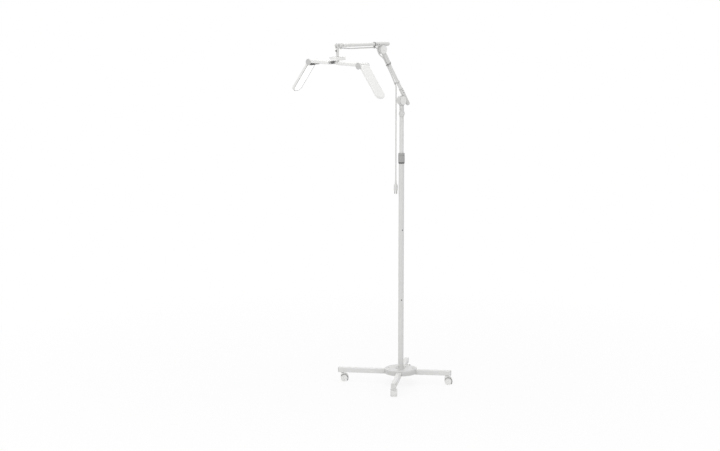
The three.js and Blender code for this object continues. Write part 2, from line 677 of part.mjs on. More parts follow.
// Link arm, in the head's frame for the +X side; the wing's hinge is at [wingHingeX, 0, wingHingeZ].
function linkArm() {
  const barrelRoom = barrelRadius + barrelClearance;
  const plate = barX(linkInnerX, wingHingeX - barrelRoom * 0.6, linkHalfWidth, linkBottomZ, linkTopZ, linkCorner);
  const ears = [-1, 1].map((side) => {
    const near = side * (linkHalfWidth - earThickness);
    const far = side * linkHalfWidth;
    return rodY(earRadius, Math.min(near, far), Math.max(near, far), 28).translate(wingHingeX, 0, wingHingeZ);
  });
  const inside = linkHalfWidth - earThickness;
  const room = rodY(barrelRoom, -inside, inside, 32).translate(wingHingeX, 0, wingHingeZ);
  const pinHole = rodY(wingPinRadius + runGap, -linkHalfWidth - 1, linkHalfWidth + 1, 16)
    .translate(wingHingeX, 0, wingHingeZ);
  const middle = (linkTopZ + linkBottomZ) / 2;
  const slot = block(linkInnerX - 1, bracketHalfLength + seatGap, -bracketHalfWidth - seatGap,
    bracketHalfWidth + seatGap, middle - bracketThickness / 2 - seatGap, middle + bracketThickness / 2 + seatGap);
  return cut(join(plate, ...ears), room, pinHole, slot);
}

// Wing, in a frame with its hinge on Y, its length along +X and its back towards +Z.
function wingOutline(inset, start) {
  const outline = new THREE.Shape();
  const w = wingHalfWidth - inset;
  const end = wingLength - inset;
  const r = wingTipRadius - inset;
  outline.moveTo(start, -w);
  outline.lineTo(end - r, -w);
  outline.absarc(end - r, -w + r, r, -Math.PI / 2, 0);
  outline.absarc(end - r, w - r, r, 0, Math.PI / 2);
  outline.lineTo(start, w);
  return outline;
}

const wingBottomZ = -wingUnderside;
const wingTopZ = wingThickness - wingUnderside;
const wingBodyStart = earRadius + wingRootClear;
const wingTrayStart = wingBodyStart + wingWall + 2;

function wingShell() {
  const body = slab(wingOutline(0, wingBodyStart), wingBottomZ, wingTopZ, 6);
  const tray = slab(wingOutline(wingWall, wingTrayStart), wingBottomZ - 1, wingTopZ - wingWall, 6);
  const inside = linkHalfWidth - earThickness - seatGap;
  const barrel = rodY(barrelRadius, -inside, inside, 32);
  const root = block(0, wingBodyStart + 1, -inside, inside, wingBottomZ, wingTopZ - 0.05);
  const pinHole = rodY(wingPinRadius + runGap, -inside - 1, inside + 1, 16);
  return cut(join(cut(body, tray), barrel, root), pinHole);
}

function wingPin() {
  const inner = linkHalfWidth + seatGap;
  const outer = inner + wingCapThickness;
  const edge = 0.8;
  const profile = [[0, -outer], [wingCapRadius - edge, -outer], [wingCapRadius, -outer + edge], [wingCapRadius, -inner],
    [wingPinRadius, -inner], [wingPinRadius, inner], [wingCapRadius, inner], [wingCapRadius, outer - edge],
    [wingCapRadius - edge, outer], [0, outer]];
  return turned(profile, 28).rotateX(Math.PI / 2);
}

function addWings() {
  for (const [side, turn] of [['left', Math.PI], ['right', 0]]) {
    const half = group(head);
    half.rotation.z = turn;
    part(half, `link_${side}`, linkArm(), finish(white, 0.5));
    const hinge = group(half, wingHingeX, 0, wingHingeZ);
    part(hinge, `wing_pin_${side}`, wingPin(), finish(softWhite, 0.5));
    const wing = group(hinge);
    wing.rotation.y = deg(wingDroopDeg);
    part(wing, `wing_shell_${side}`, wingShell(), finish(white, 0.5));
    const lip = wingWall + seatGap;
    const glowing = slab(wingOutline(lip, wingTrayStart + seatGap), wingBottomZ, wingBottomZ + diffuserThickness, 6);
    part(wing, `diffuser_${side}`, glowing, finish(0xffffff, 0.6));
    const boardZ = wingTopZ - wingWall - seatGap - ledBoardThickness;
    const board = slab(wingOutline(lip + 2, wingTrayStart + 4), boardZ, boardZ + ledBoardThickness, 4);
    part(wing, `led_board_${side}`, board, finish(0xf4f4e8, 0.5));
  }
}

// ---------- lead ----------

// A round lead through points, with flat ends.
function lead(points, steps) {
  const ring = new THREE.Shape();
  ring.absarc(0, 0, cordRadius, 0, Math.PI * 2);
  const path = new THREE.CatmullRomCurve3(points.map((p) => new THREE.Vector3(...p)), false, 'centripetal');
  return new THREE.ExtrudeGeometry(ring, { steps, extrudePath: path, curveSegments: cordSides / 2, bevelEnabled: false });
}

// A point of one of the arm's frames, in the lamp's frame.
function inLamp(frame, x, y, z) {
  frame.updateWorldMatrix(true, false);
  return frame.localToWorld(new THREE.Vector3(x, y, z)).toArray();
}

// The lead runs under the boom, loops round the inside of the elbow, follows the lower arm and hangs from its
// lowest clip beside the pole.
function leadRuns() {
  const start = gland.z - seatGap;
  const boomRun = [
    [0, gland.y, start], [0, gland.y, start - 8], [0, sleeveOffset - 16.5, start - 60],
    [0, sleeveOffset - boomClip.drop, boomClip.z0 + 40], [0, sleeveOffset - boomClip.drop, boomClip.z0 - 1],
  ].map((p) => inLamp(boom, ...p));
  const elbowRun = [
    inLamp(boom, 0, sleeveOffset - boomClip.drop, boomClip.z0 - 1 - seatGap),
    inLamp(boom, 0, sleeveOffset - boomClip.drop, boomClip.z0 - 2.6),
    ...elbowLoop.map(([y, z]) => inLamp(elbow, 0, y * drumRadius, z * drumRadius)),
    inLamp(lowerArm, 0, sleeveOffset - armClip.drop, armClip.z1 + 8),
    inLamp(lowerArm, 0, sleeveOffset - armClip.drop, armClip.z1 + 1 + seatGap),
  ];
  const low = lowClip;
  const armRun = [
    inLamp(lowerArm, 0, sleeveOffset - armClip.drop, armClip.z1 + 1),
    inLamp(lowerArm, 0, sleeveOffset - armClip.drop, armClip.z0 - 8),
    inLamp(lowerArm, low.x * 0.6, sleeveOffset - low.drop - 0.8, low.z1 + 34),
    inLamp(lowerArm, low.x, sleeveOffset - low.drop, low.z1 + 8),
    inLamp(lowerArm, low.x, sleeveOffset - low.drop, low.z1 + 2),
    inLamp(lowerArm, low.x, sleeveOffset - low.drop, low.z0 - 1),
  ];
  const top = inLamp(lowerArm, low.x, sleeveOffset - low.drop, low.z0 - 1 - seatGap);
  const below = inLamp(lowerArm, low.x, sleeveOffset - low.drop, low.z0 - 7);
  const dropRun = [top, below,
    ...leaveClip.map(([x, y, z]) => [hangX - x, hangY - y, below[2] - z]), [hangX, hangY, below[2] - 82],
    [hangX, hangY, 1400], [hangX, hangY, 1250], [hangX, hangY, hangBottomZ],
  ];
  return { boomRun, elbowRun, armRun, dropRun };
}

function plug() {
  const plugTopZ = hangBottomZ - seatGap;
  const reliefBottom = plugTopZ - reliefLength;
  const bodyBottom = reliefBottom - plugLength;
  const relief = turned([[0, reliefBottom - 1], [cordRadius + 2.4, reliefBottom - 1], [cordRadius + 2.4, reliefBottom],
    [cordRadius + 0.8, plugTopZ], [0, plugTopZ]], 16);
  const half = plugSize / 2;
  const body = slab(roundedOutline(-half, half, -half * 0.8, half * 0.8, 4), bodyBottom, reliefBottom, 3);
  const blades = [-1, 1].map((side) => block(side * 6.35 - 0.8, side * 6.35 + 0.8, -3.1, 3.1,
    bodyBottom - bladeLength, bodyBottom + 1));
  return join(relief, body, ...blades);
}

function addLead() {
  const { boomRun, elbowRun, armRun, dropRun } = leadRuns();
  part(lamp, 'cord_boom', lead(boomRun, 12), finish(grey, 0.6));
  part(lamp, 'cord_elbow', lead(elbowRun, 16), finish(grey, 0.6));
  part(lamp, 'cord_arm', lead(armRun, 10), finish(grey, 0.6));
  part(lamp, 'cord_drop', lead(dropRun, 34), finish(grey, 0.6));
  part(lamp, 'cord_plug', plug(), finish(softWhite, 0.5)).position.set(hangX, hangY, 0);
}

addBase();
addPole();
addArm();
part(headPivot, 'boom_fork', boomFork(), finish(white, 0.5));
part(head, 'head_clevis', headClevis(), finish(white, 0.5));
part(head, 'head_screw', headScrew(), finish(softWhite, 0.4));
part(head, 'swivel_screw', swivelScrew(), finish(grey, 0.5));
addBox();
addCentreBracket();
addWings();
addLead();

// Origin at the bottom centre of everything but the lead and its plug.
function centreOnFloor(root) {
  root.updateMatrixWorld(true);
  const box = new THREE.Box3();
  root.traverse((node) => {
    if (node.isMesh && !node.name.startsWith('cord_')) box.expandByObject(node, true);
  });
  const middle = box.getCenter(new THREE.Vector3());
  root.position.set(-middle.x, -middle.y, -box.min.z);
}

centreOnFloor(lamp);

export default lamp;
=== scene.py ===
import json
import math
import bpy
import bmesh
from mathutils import Matrix, Vector


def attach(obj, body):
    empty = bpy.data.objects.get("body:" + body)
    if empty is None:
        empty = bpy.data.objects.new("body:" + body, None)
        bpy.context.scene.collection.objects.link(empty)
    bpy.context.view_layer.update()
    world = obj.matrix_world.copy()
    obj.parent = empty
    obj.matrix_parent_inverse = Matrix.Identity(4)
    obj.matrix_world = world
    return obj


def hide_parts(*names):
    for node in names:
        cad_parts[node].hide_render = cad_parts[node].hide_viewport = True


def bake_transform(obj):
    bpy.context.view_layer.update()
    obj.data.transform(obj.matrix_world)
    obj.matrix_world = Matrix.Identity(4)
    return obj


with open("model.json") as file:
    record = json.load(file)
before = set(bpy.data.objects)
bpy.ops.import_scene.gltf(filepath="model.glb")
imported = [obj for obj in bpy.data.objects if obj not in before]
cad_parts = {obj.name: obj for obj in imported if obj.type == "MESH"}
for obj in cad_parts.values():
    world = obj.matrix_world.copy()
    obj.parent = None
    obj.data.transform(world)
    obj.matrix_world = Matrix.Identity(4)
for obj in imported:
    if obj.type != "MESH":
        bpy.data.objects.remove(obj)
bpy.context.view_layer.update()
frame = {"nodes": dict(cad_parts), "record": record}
print("frame loaded")

mm = 0.001
joints = {j["name"]: j for j in frame["record"]["behaviour"]["joints"]}
sides = ("left", "front", "right", "rear")


def jointAt(name):
    return Vector(joints[name]["pos_m"])


camera = dict(lens=94, sensor=36, place=(6.568, -6.732, 2.400), pitch=80.6, turn=45)


def addCamera():
    data = bpy.data.cameras.new("viewCamera")
    data.lens = camera["lens"]
    data.sensor_width = camera["sensor"]
    data.clip_end = 100
    obj = bpy.data.objects.new("viewCamera", data)
    obj.location = camera["place"]
    obj.rotation_euler = (math.radians(camera["pitch"]), 0, math.radians(camera["turn"]))
    bpy.context.scene.collection.objects.link(obj)
    bpy.context.scene.camera = obj


addCamera()
print("camera set")


def turnedMesh(profile, segments=64):
    # profile: (radius, z) points; starts and ends on the axis, or comes back to its first point
    bm = bmesh.new()
    rings = []
    closed = math.dist(profile[0], profile[-1]) < 1e-6
    points = profile[:-1] if closed else profile
    for r, z in points:
        if r < 1e-6:
            rings.append([bm.verts.new((0, 0, z))])
            continue
        turn = [2 * math.pi * k / segments for k in range(segments)]
        rings.append([bm.verts.new((r * math.cos(a), r * math.sin(a), z)) for a in turn])
    pairs = list(zip(rings, rings[1:]))
    if closed:
        pairs.append((rings[-1], rings[0]))
    for low, high in pairs:
        for k in range(segments):
            n = (k + 1) % segments
            corners = [low[k % len(low)], low[n % len(low)], high[n % len(high)], high[k % len(high)]]
            face = list(dict.fromkeys(corners))
            if len(face) > 2:
                bm.faces.new(face)
    bmesh.ops.recalc_face_normals(bm, faces=bm.faces)
    return bm


def softened(points, radius, steps=4):
    # rounds each inner corner of a profile
    out = [points[0]]
    for before, corner, after in zip(points, points[1:], points[2:]):
        a, b = math.dist(before, corner), math.dist(corner, after)
        if min(a, b) < 1e-6:
            out.append(corner)
            continue
        r = min(radius, a * 0.45, b * 0.45)
        start = [c + (p - c) * r / a for c, p in zip(corner, before)]
        end = [c + (p - c) * r / b for c, p in zip(corner, after)]
        for k in range(steps + 1):
            t = k / steps
            out.append(tuple((1 - t) ** 2 * s + 2 * t * (1 - t) * c + t * t * e
                             for s, c, e in zip(start, corner, end)))
    out.append(points[-1])
    return out


def turned(points, edge, segments=64, steps=4):
    return turnedMesh(softened(points, edge, steps), segments)


def rod(radius, z0, z1, edge=0.4, segments=64):
    return turned([(0, z0), (radius, z0), (radius, z1), (0, z1)], edge, segments)


def ringBand(inner, outer, z0, z1, edge=0.3, segments=64):
    z = (z0 + z1) / 2
    loop = [(inner, z), (inner, z0), (outer, z0), (outer, z1), (inner, z1), (inner, z)]
    return turned(loop, edge, segments)


def roundRect(x0, x1, y0, y1, radius, steps=8):
    def outline(inset):
        r = max(radius - inset, 0.02)
        points = []
        for cx, cy, start in ((x1, y0, -90), (x1, y1, 0), (x0, y1, 90), (x0, y0, 180)):
            ox = cx - math.copysign(inset + r, cx - (x0 + x1) / 2)
            oy = cy - math.copysign(inset + r, cy - (y0 + y1) / 2)
            for k in range(steps + 1):
                a = math.radians(start + 90 * k / steps)
                points.append((ox + r * math.cos(a), oy + r * math.sin(a)))
        return points
    return outline


def plateMesh(outline, z0, z1, edge=0.6, steps=4):
    # an outline with rounded rims, from z0 to z1
    bm = bmesh.new()
    levels = []
    for k in range(steps + 1):
        a = math.pi / 2 * k / steps
        levels.append((edge * (1 - math.sin(a)), z0 + edge * (1 - math.cos(a))))
    for k in range(steps + 1):
        a = math.pi / 2 * k / steps
        levels.append((edge * (1 - math.cos(a)), z1 - edge * (1 - math.sin(a))))
    rings = [[bm.verts.new((x, y, z)) for x, y in outline(inset)] for inset, z in levels]
    count = len(rings[0])
    for low, high in zip(rings, rings[1:]):
        for k in range(count):
            n = (k + 1) % count
            bm.faces.new((low[k], low[n], high[n], high[k]))
    bm.faces.new(list(reversed(rings[0])))
    bm.faces.new(rings[-1])
    bmesh.ops.recalc_face_normals(bm, faces=bm.faces)
    return bm


def block(x0, x1, y0, y1, z0, z1, edge=0.4):
    return plateMesh(roundRect(x0, x1, y0, y1, edge, 2), z0, z1, edge, 2)


def sweptMesh(points, radius, segments=14):
    bm = bmesh.new()
    rings = []
    side = Vector((1, 0, 0))
    for k, p in enumerate(points):
        ahead = (points[min(k + 1, len(points) - 1)] - points[max(k - 1, 0)]).normalized()
        side = (side - ahead * side.dot(ahead)).normalized()
        up = ahead.cross(side)
        turn = [2 * math.pi * i / segments for i in range(segments)]
        rings.append([bm.verts.new(p + (side * math.cos(a) + up * math.sin(a)) * radius) for a in turn])
    for low, high in zip(rings, rings[1:]):
        for i in range(segments):
            n = (i + 1) % segments
            bm.faces.new((low[i], low[n], high[n], high[i]))
    bm.faces.new(list(reversed(rings[0])))
    bm.faces.new(rings[-1])
    bmesh.ops.recalc_face_normals(bm, faces=bm.faces)
    return bm


def moved(bm, matrix):
    bmesh.ops.transform(bm, matrix=matrix, verts=bm.verts)
    return bm


def merged(*parts):
    # several closed shells in one mesh
    whole = bmesh.new()
    for part in parts:
        mesh = bpy.data.meshes.new("shell")
        part.to_mesh(mesh)
        whole.from_mesh(mesh)
        bpy.data.meshes.remove(mesh)
        part.free()
    return whole


def combined(base, others, how):
    # boolean join or cut through a short-lived object
    def shortLived(bm):
        mesh = bpy.data.meshes.new("tool")
        bm.to_mesh(mesh)
        bm.free()
        obj = bpy.data.objects.new("tool", mesh)
        bpy.context.scene.collection.objects.link(obj)
        return obj
    target = shortLived(base)
    tools = [shortLived(b) for b in others]
    for tool in tools:
        step = target.modifiers.new("step", "BOOLEAN")
        step.operation = how
        step.object = tool
        step.solver = "EXACT"
    done = target.evaluated_get(bpy.context.evaluated_depsgraph_get())
    result = bmesh.new()
    result.from_mesh(done.to_mesh())
    done.to_mesh_clear()
    for obj in [target] + tools:
        mesh = obj.data
        bpy.data.objects.remove(obj)
        bpy.data.meshes.remove(mesh)
    return result


def joined(base, *others):
    return combined(base, others, "UNION")


def cutBy(base, *others):
    return combined(base, others, "DIFFERENCE")


def shift(x=0, y=0, z=0):
    return Matrix.Translation((x, y, z))


def by(x=0, y=0, z=0):
    # a shift in millimetres, in a frame that is in metres
    return shift(x * mm, y * mm, z * mm)


def spin(degrees, axis="Z"):
    return Matrix.Rotation(math.radians(degrees), 4, axis)


toX, toY = spin(90, "Y"), spin(-90, "X")  # an axis on Z turns onto X or onto Y
# an outline's X and Y turn onto Y and Z
onEdge = Matrix(((0, 0, 1, 0), (1, 0, 0, 0), (0, 1, 0, 0), (0, 0, 0, 1)))


def alongX(bm, way=1):
    return moved(bm, toX if way > 0 else spin(-90, "Y"))


def alongY(bm, way=1):
    return moved(bm, toY if way > 0 else spin(90, "X"))


def place(name, bm, where, finish, body, stands=(), slot=None, sharp=32, bevel=0):
    bmesh.ops.transform(bm, matrix=where @ Matrix.Diagonal((mm, mm, mm, 1)), verts=bm.verts)
    for edge in bm.edges:
        flat = len(edge.link_faces) == 2 and edge.calc_face_angle(0) > math.radians(sharp)
        edge.smooth = not flat
    for face in bm.faces:
        face.smooth = True
    mesh = bpy.data.meshes.new(name)
    bm.to_mesh(mesh)
    bm.free()
    mesh.materials.append(finish)
    obj = bpy.data.objects.new(name, mesh)
    bpy.context.scene.collection.objects.link(obj)
    if bevel:
        soft = obj.modifiers.new("softEdges", "BEVEL")
        soft.width = bevel * mm
        soft.segments = 3
        soft.limit_method = "ANGLE"
        soft.angle_limit = math.radians(sharp)
        soft.use_clamp_overlap = True
    if body:
        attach(obj, body)
    if stands:
        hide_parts(*stands)
    slot = slot or usualSlot[finish.name]
    return obj


def feed(tree, socket, value):
    # a link where the value is a socket, else a constant
    if isinstance(value, bpy.types.NodeSocket):
        tree.links.new(value, socket)
    else:
        socket.default_value = value


def node(tree, kind, inputs=(), **settings):
    made = tree.nodes.new("ShaderNode" + kind)
    for label, value in settings.items():
        setattr(made, label, value)
    for label, value in dict(inputs).items():
        feed(tree, made.inputs[label], value)
    return made


def effect(name, inputs, outputs):
    tree = bpy.data.node_groups.new(name, "ShaderNodeTree")
    for label, kind, value in inputs:
        socket = tree.interface.new_socket(label, in_out="INPUT", socket_type="NodeSocket" + kind)
        socket.default_value = value
    for label, kind in outputs:
        tree.interface.new_socket(label, in_out="OUTPUT", socket_type="NodeSocket" + kind)
    return tree, tree.nodes.new("NodeGroupInput").outputs, tree.nodes.new("NodeGroupOutput").inputs


def noise(tree, source, scale, detail, stretch=None):
    if stretch:
        source = node(tree, "Mapping", {"Vector": source, "Scale": stretch}).outputs["Vector"]
    return node(tree, "TexNoise", {"Vector": source, "Scale": scale, "Detail": detail}).outputs["Fac"]


def span(tree, value, fromLow, fromHigh, toLow, toHigh):
    ends = {"From Min": fromLow, "From Max": fromHigh, "To Min": toLow, "To Max": toHigh}
    return node(tree, "MapRange", {"Value": value, **ends}).outputs["Result"]


def maths(tree, how, a, b):
    return node(tree, "Math", {0: a, 1: b}, operation=how).outputs[0]


def blendColor(tree, factor, a, b):
    return node(tree, "Mix", {"Factor": factor, "A": a, "B": b}, data_type="RGBA").outputs["Result"]


# noise scales per metre, the relief in metres, the painted shade and the depth of the perforation holes, and
# how strongly dust shows
skin = dict(drift=9.0, flecks=260.0, dust=60.0, relief=0.00015, holePaintedShade=0.14, holeDepth=0.5, dustShare=0.10,
            dustShade=0.9, coatRough=0.25)


def surfaceEffect(name, grainStretch=None, pattern=None):
    # shade drift, fine relief and a settled-dust mask on the upward faces
    tree, given, out = effect(name, [
        ("Base", "Color", (0.8, 0.8, 0.8, 1)), ("Shade", "Color", (0.7, 0.7, 0.7, 1)),
        ("Grain", "Float", 900.0), ("Depth", "Float", 0.05), ("Roughness", "Float", 0.5),
        ("Drift", "Float", 0.3),
    ], [("Color", "Color"), ("Roughness", "Float"), ("Normal", "Vector"), ("Dust", "Float")])
    coords = node(tree, "TexCoord").outputs["Object"]
    broad = noise(tree, coords, skin["drift"], 4.0)
    fine = noise(tree, coords, given["Grain"], 2.0, grainStretch)
    flecks = noise(tree, coords, skin["flecks"], 1.0)
    mask = maths(tree, "MULTIPLY", span(tree, broad, 0.35, 0.7, 0.0, 1.0), given["Drift"])
    if pattern:
        dots = node(tree, "TexVoronoi", {"Vector": coords, "Scale": pattern, "Randomness": 0.0})
        hole = span(tree, dots.outputs["Distance"], 0.2, 0.34, 1.0, 0.0)
        # the perforation holes are darkened: painted shade inside the holes
        mask = maths(tree, "MAXIMUM", mask, maths(tree, "MULTIPLY", hole, skin["holePaintedShade"]))
        fine = maths(tree, "SUBTRACT", fine, maths(tree, "MULTIPLY", hole, skin["holeDepth"]))
    mask = maths(tree, "ADD", mask, span(tree, flecks, 0.66, 0.74, 0.0, 0.06))
    feed(tree, out["Color"], blendColor(tree, mask, given["Base"], given["Shade"]))
    wear = span(tree, broad, 0.3, 0.75, -0.05, 0.07)
    ripple = span(tree, fine, 0.0, 1.0, -0.03, 0.03)
    feed(tree, out["Roughness"], maths(tree, "ADD", given["Roughness"], maths(tree, "ADD", wear, ripple)))
    bump = node(tree, "Bump", {"Distance": skin["relief"], "Strength": given["Depth"], "Height": fine})
    feed(tree, out["Normal"], bump.outputs["Normal"])
    facing = node(tree, "NewGeometry").outputs["Normal"]
    upward = node(tree, "SeparateXYZ", {0: facing}).outputs["Z"]
    settled = span(tree, noise(tree, coords, skin["dust"], 5.0), 0.45, 0.75, 0.0, 1.0)
    feed(tree, out["Dust"], maths(tree, "MULTIPLY", span(tree, upward, 0.55, 1.0, 0.0, 1.0), settled))
    return tree


effects = {
    "moulded": surfaceEffect("mouldedSkin"),
    "painted": surfaceEffect("powderCoat"),
    "brushed": surfaceEffect("brushedLines", grainStretch=(0.08, 0.08, 2.2)),
    "perforated": surfaceEffect("finePerforation", pattern=520.0),
}
usualSlot = {}  # the record's slot for each finish, unless a piece says otherwise


def grey(level):
    return (level, level, level * 0.99)


def finish(name, kind, slot, base, shade, rough, grain=900, depth=0.08, drift=0.3, metal=0.0, coat=0.0,
           glow=0.0, soft=0.0):
    usualSlot[name] = slot
    made = bpy.data.materials.new(name)
    made.use_nodes = True
    tree = made.node_tree
    dustColor = (*[c * skin["dustShade"] for c in grey(shade)], 1)
    given = {"Base": (*grey(base), 1), "Shade": (*grey(shade), 1), "Grain": grain, "Depth": depth,
             "Roughness": rough, "Drift": drift}
    shown = node(tree, "Group", given, node_tree=effects[kind]).outputs
    dust = maths(tree, "MULTIPLY", shown["Dust"], skin["dustShare"])
    values = {"Base Color": blendColor(tree, dust, shown["Color"], dustColor),
              "Roughness": shown["Roughness"], "Normal": shown["Normal"], "Metallic": metal,
              "Coat Weight": coat, "Coat Roughness": skin["coatRough"]}
    if glow:
        values |= {"Emission Color": (1, 1, 1, 1), "Emission Strength": glow}
    if soft:
        values |= {"Subsurface Weight": soft, "Subsurface Radius": (0.004, 0.004, 0.004),
                   "Subsurface Scale": 1.0}
    for label, value in values.items():
        feed(tree, tree.nodes["Principled BSDF"].inputs[label], value)
    return made


boxShell = finish("boxShell", "moulded", "white_plastic", 0.94, 0.87, 0.42, 1500, 0.10, coat=0.06)
whiteShell = finish("whiteShell", "moulded", "white_plastic", 0.89, 0.81, 0.42, 1500, 0.10, coat=0.06)
hingeShell = finish("hingeShell", "moulded", "white_plastic", 0.73, 0.65, 0.45, 1300, 0.08, coat=0.04)
wingBack = finish("wingBack", "perforated", "white_plastic", 0.96, 0.80, 0.5, 1500, 0.10, drift=0.12)
poleCoat = finish("poleCoat", "painted", "white_painted_metal", 0.74, 0.66, 0.36, 700, 0.05, coat=0.15)
tubeCoat = finish("tubeCoat", "painted", "white_painted_metal", 0.78, 0.70, 0.34, 800, 0.04, coat=0.15)
hubCoat = finish("hubCoat", "painted", "white_painted_metal", 0.67, 0.59, 0.40, 650, 0.08, coat=0.10)
legCoat = finish("legCoat", "painted", "white_painted_metal", 0.78, 0.68, 0.40, 650, 0.08, coat=0.10)
capShell = finish("capShell", "moulded", "pale_grey_plastic", 0.60, 0.50, 0.42, 1400, 0.12)
collarGrip = finish("collarGrip", "moulded", "grey_plastic", 0.42, 0.33, 0.55, 1100, 0.20)
darkBand = finish("darkBand", "moulded", "dark_plastic", 0.13, 0.09, 0.55, 1200, 0.15)
clipGrey = finish("clipGrey", "moulded", "grey_plastic", 0.34, 0.26, 0.5, 1200, 0.15)
# grey copy of the white plastic: painted shade round the drum caps and along the caster hood edges
rimShadeGrey = finish("rimShadeGrey", "moulded", "white_plastic", 0.42, 0.34, 0.5, 1200, 0.08)
wheelShell = finish("wheelShell", "moulded", "pale_grey_plastic", 0.88, 0.74, 0.42, 1000, 0.08, drift=0.35)
# dark band on the pale grey wheel treads: painted shade of the gap under the hood
treadShadeRing = finish("treadShadeRing", "moulded", "pale_grey_plastic", 0.20, 0.30, 0.75, 900, 0.35, drift=0.6)
hoodShell = finish("hoodShell", "moulded", "white_plastic", 0.88, 0.76, 0.48, 1100, 0.10, drift=0.4)
zincPlate = finish("zincPlate", "brushed", "bright_steel", 0.55, 0.42, 0.30, 900, 0.10, metal=1.0)
darkScrew = finish("darkScrew", "brushed", "bright_steel", 0.10, 0.06, 0.42, 900, 0.10, metal=0.9)
brightAlloy = finish("brightAlloy", "brushed", "aluminium", 0.62, 0.5, 0.34, 800, 0.08, metal=1.0)
cordSkin = finish("cordSkin", "moulded", "cord_jacket", 0.70, 0.60, 0.5, 1600, 0.05, drift=0.4)
plugShell = finish("plugShell", "moulded", "pale_grey_plastic", 0.76, 0.66, 0.45, 1300, 0.08)
opalPanel = finish("opalPanel", "moulded", "opal_diffuser", 0.92, 0.90, 0.35, 1800, 0.02, drift=0.1,
                   glow=0.42, soft=0.15)
frameLine = finish("frameLine", "moulded", "grey_plastic", 0.22, 0.17, 0.5, 1300, 0.10)
boardCoat = finish("boardCoat", "painted", "aluminium", 0.80, 0.70, 0.5, 600, 0.06)
print("finishes made")


arm = dict(lean=33.6, rise=1.4, boomLength=311, offset=27, tube=8.5, wall=1.2, tubeStart=18.3,
           lowerTubeEnd=250, droop=51)

shoulderAt, elbowAt, headAt = jointAt("shoulder"), jointAt("elbow"), jointAt("head_tilt")
poleAt = Vector((shoulderAt.x, shoulderAt.y, 0))


def frameOf(origin, *turns):
    made = Matrix.Translation(origin)
    for turn in turns:
        made = made @ turn
    return made


baseFrame = frameOf(poleAt)
postFrame = frameOf(shoulderAt)
lowerFrame = frameOf(shoulderAt, spin(arm["lean"], "X"))
elbowFrame = frameOf(elbowAt, spin(arm["lean"], "X"))
boomFrame = frameOf(elbowAt, spin(90 - arm["rise"], "X"))
forkFrame = frameOf(headAt, spin(90 - arm["rise"], "X"))
headFrame = frameOf(headAt)


# routes in the frames of the arm, millimetres: (frame, x, y, z)
lead = dict(radius=3.0, gland=14, boomDrop=16, armDrop=15.4, lowDrop=12.8, lowX=-8,
            hang=(-21, -19.5), bottom=1063.3)
clips = dict(boom=(52, 58), arm=(210, 216), low=(92, 98))
elbowLoop = [(-29.1, 32.1), (-26.2, 24.9), (-26, 16.8), (-28, 8.4), (-29.2, 0), (-28.8, -9.7), (-25.5, -20.3),
             (-19.8, -32.5), (-16, -46.2)]
leaveClip = [(-11.2, 11.9, 8.5), (-8, 8.3, 20), (-4.6, 4.7, 33), (-1.8, 1.8, 48), (-0.4, 0.4, 64)]
hangLevels = (1440, 1400, 1350, 1300, 1250, 1200, 1150, 1100)


def inFrame(where, x, y, z):
    return where @ Vector((x * mm, y * mm, z * mm))


def smoothRoute(points, perSpan=10):
    # centripetal spline through the points, ends carried straight on
    full = [points[0] * 2 - points[1]] + points + [points[-1] * 2 - points[-2]]
    out = []
    for a, b, c, d in zip(full, full[1:], full[2:], full[3:]):
        t = [0.0]
        for p, q in ((a, b), (b, c), (c, d)):
            t.append(t[-1] + math.sqrt(max((q - p).length, 1e-9)))
        for k in range(perSpan):
            s = t[1] + (t[2] - t[1]) * k / perSpan
            a1 = a.lerp(b, (s - t[0]) / (t[1] - t[0]))
            a2 = b.lerp(c, (s - t[1]) / (t[2] - t[1]))
            a3 = c.lerp(d, (s - t[2]) / (t[3] - t[2]))
            b1 = a1.lerp(a2, (s - t[0]) / (t[2] - t[0]))
            b2 = a2.lerp(a3, (s - t[1]) / (t[3] - t[1]))
            out.append(b1.lerp(b2, (s - t[1]) / (t[2] - t[1])))
    out.append(points[-1])
    return out


def leadRoutes():
    off = arm["offset"]
    boomY, armY, lowY = off - lead["boomDrop"], off - lead["armDrop"], off - lead["lowDrop"]
    start = arm["boomLength"] - 27.3
    boom = [(0, off - lead["gland"], start), (0, off - lead["gland"], start - 8), (0, off - 16.5, start - 60),
            (0, boomY, 92), (0, boomY, 51)]
    loop = [inFrame(boomFrame, 0, boomY, 50.7), inFrame(boomFrame, 0, boomY, 49.4)]
    loop += [inFrame(elbowFrame, 0, y, z) for y, z in elbowLoop]
    loop += [inFrame(lowerFrame, 0, armY, 224), inFrame(lowerFrame, 0, armY, 217.3)]
    lower = [(0, armY, 217), (0, armY, 202), (lead["lowX"] * 0.6, lowY - 0.8, 132), (lead["lowX"], lowY, 106),
             (lead["lowX"], lowY, 100), (lead["lowX"], lowY, 91)]
    top = inFrame(lowerFrame, lead["lowX"], lowY, 90.7)
    below = inFrame(lowerFrame, lead["lowX"], lowY, 85)
    hangX, hangY = lead["hang"][0] * mm, poleAt.y + lead["hang"][1] * mm
    hang = [top, below]
    hang += [Vector((hangX - x * mm, hangY - y * mm, below.z - z * mm)) for x, y, z in leaveClip]
    hang += [Vector((hangX, hangY, below.z - 0.082))]
    hang += [Vector((hangX, hangY, z * mm)) for z in hangLevels + (lead["bottom"],)]
    return ([inFrame(boomFrame, *p) for p in boom], loop, [inFrame(lowerFrame, *p) for p in lower], hang)


def cordMesh(points):
    return sweptMesh([p / mm for p in points], lead["radius"])


metres = Matrix.Identity(4)
boomRoute, loopRoute, armRoute, hangRoute = [smoothRoute(r) for r in leadRoutes()]

plug = dict(width=18, depth=14.4, length=32, relief=23, ribs=6, bladeLength=17, bladeGap=6.35)


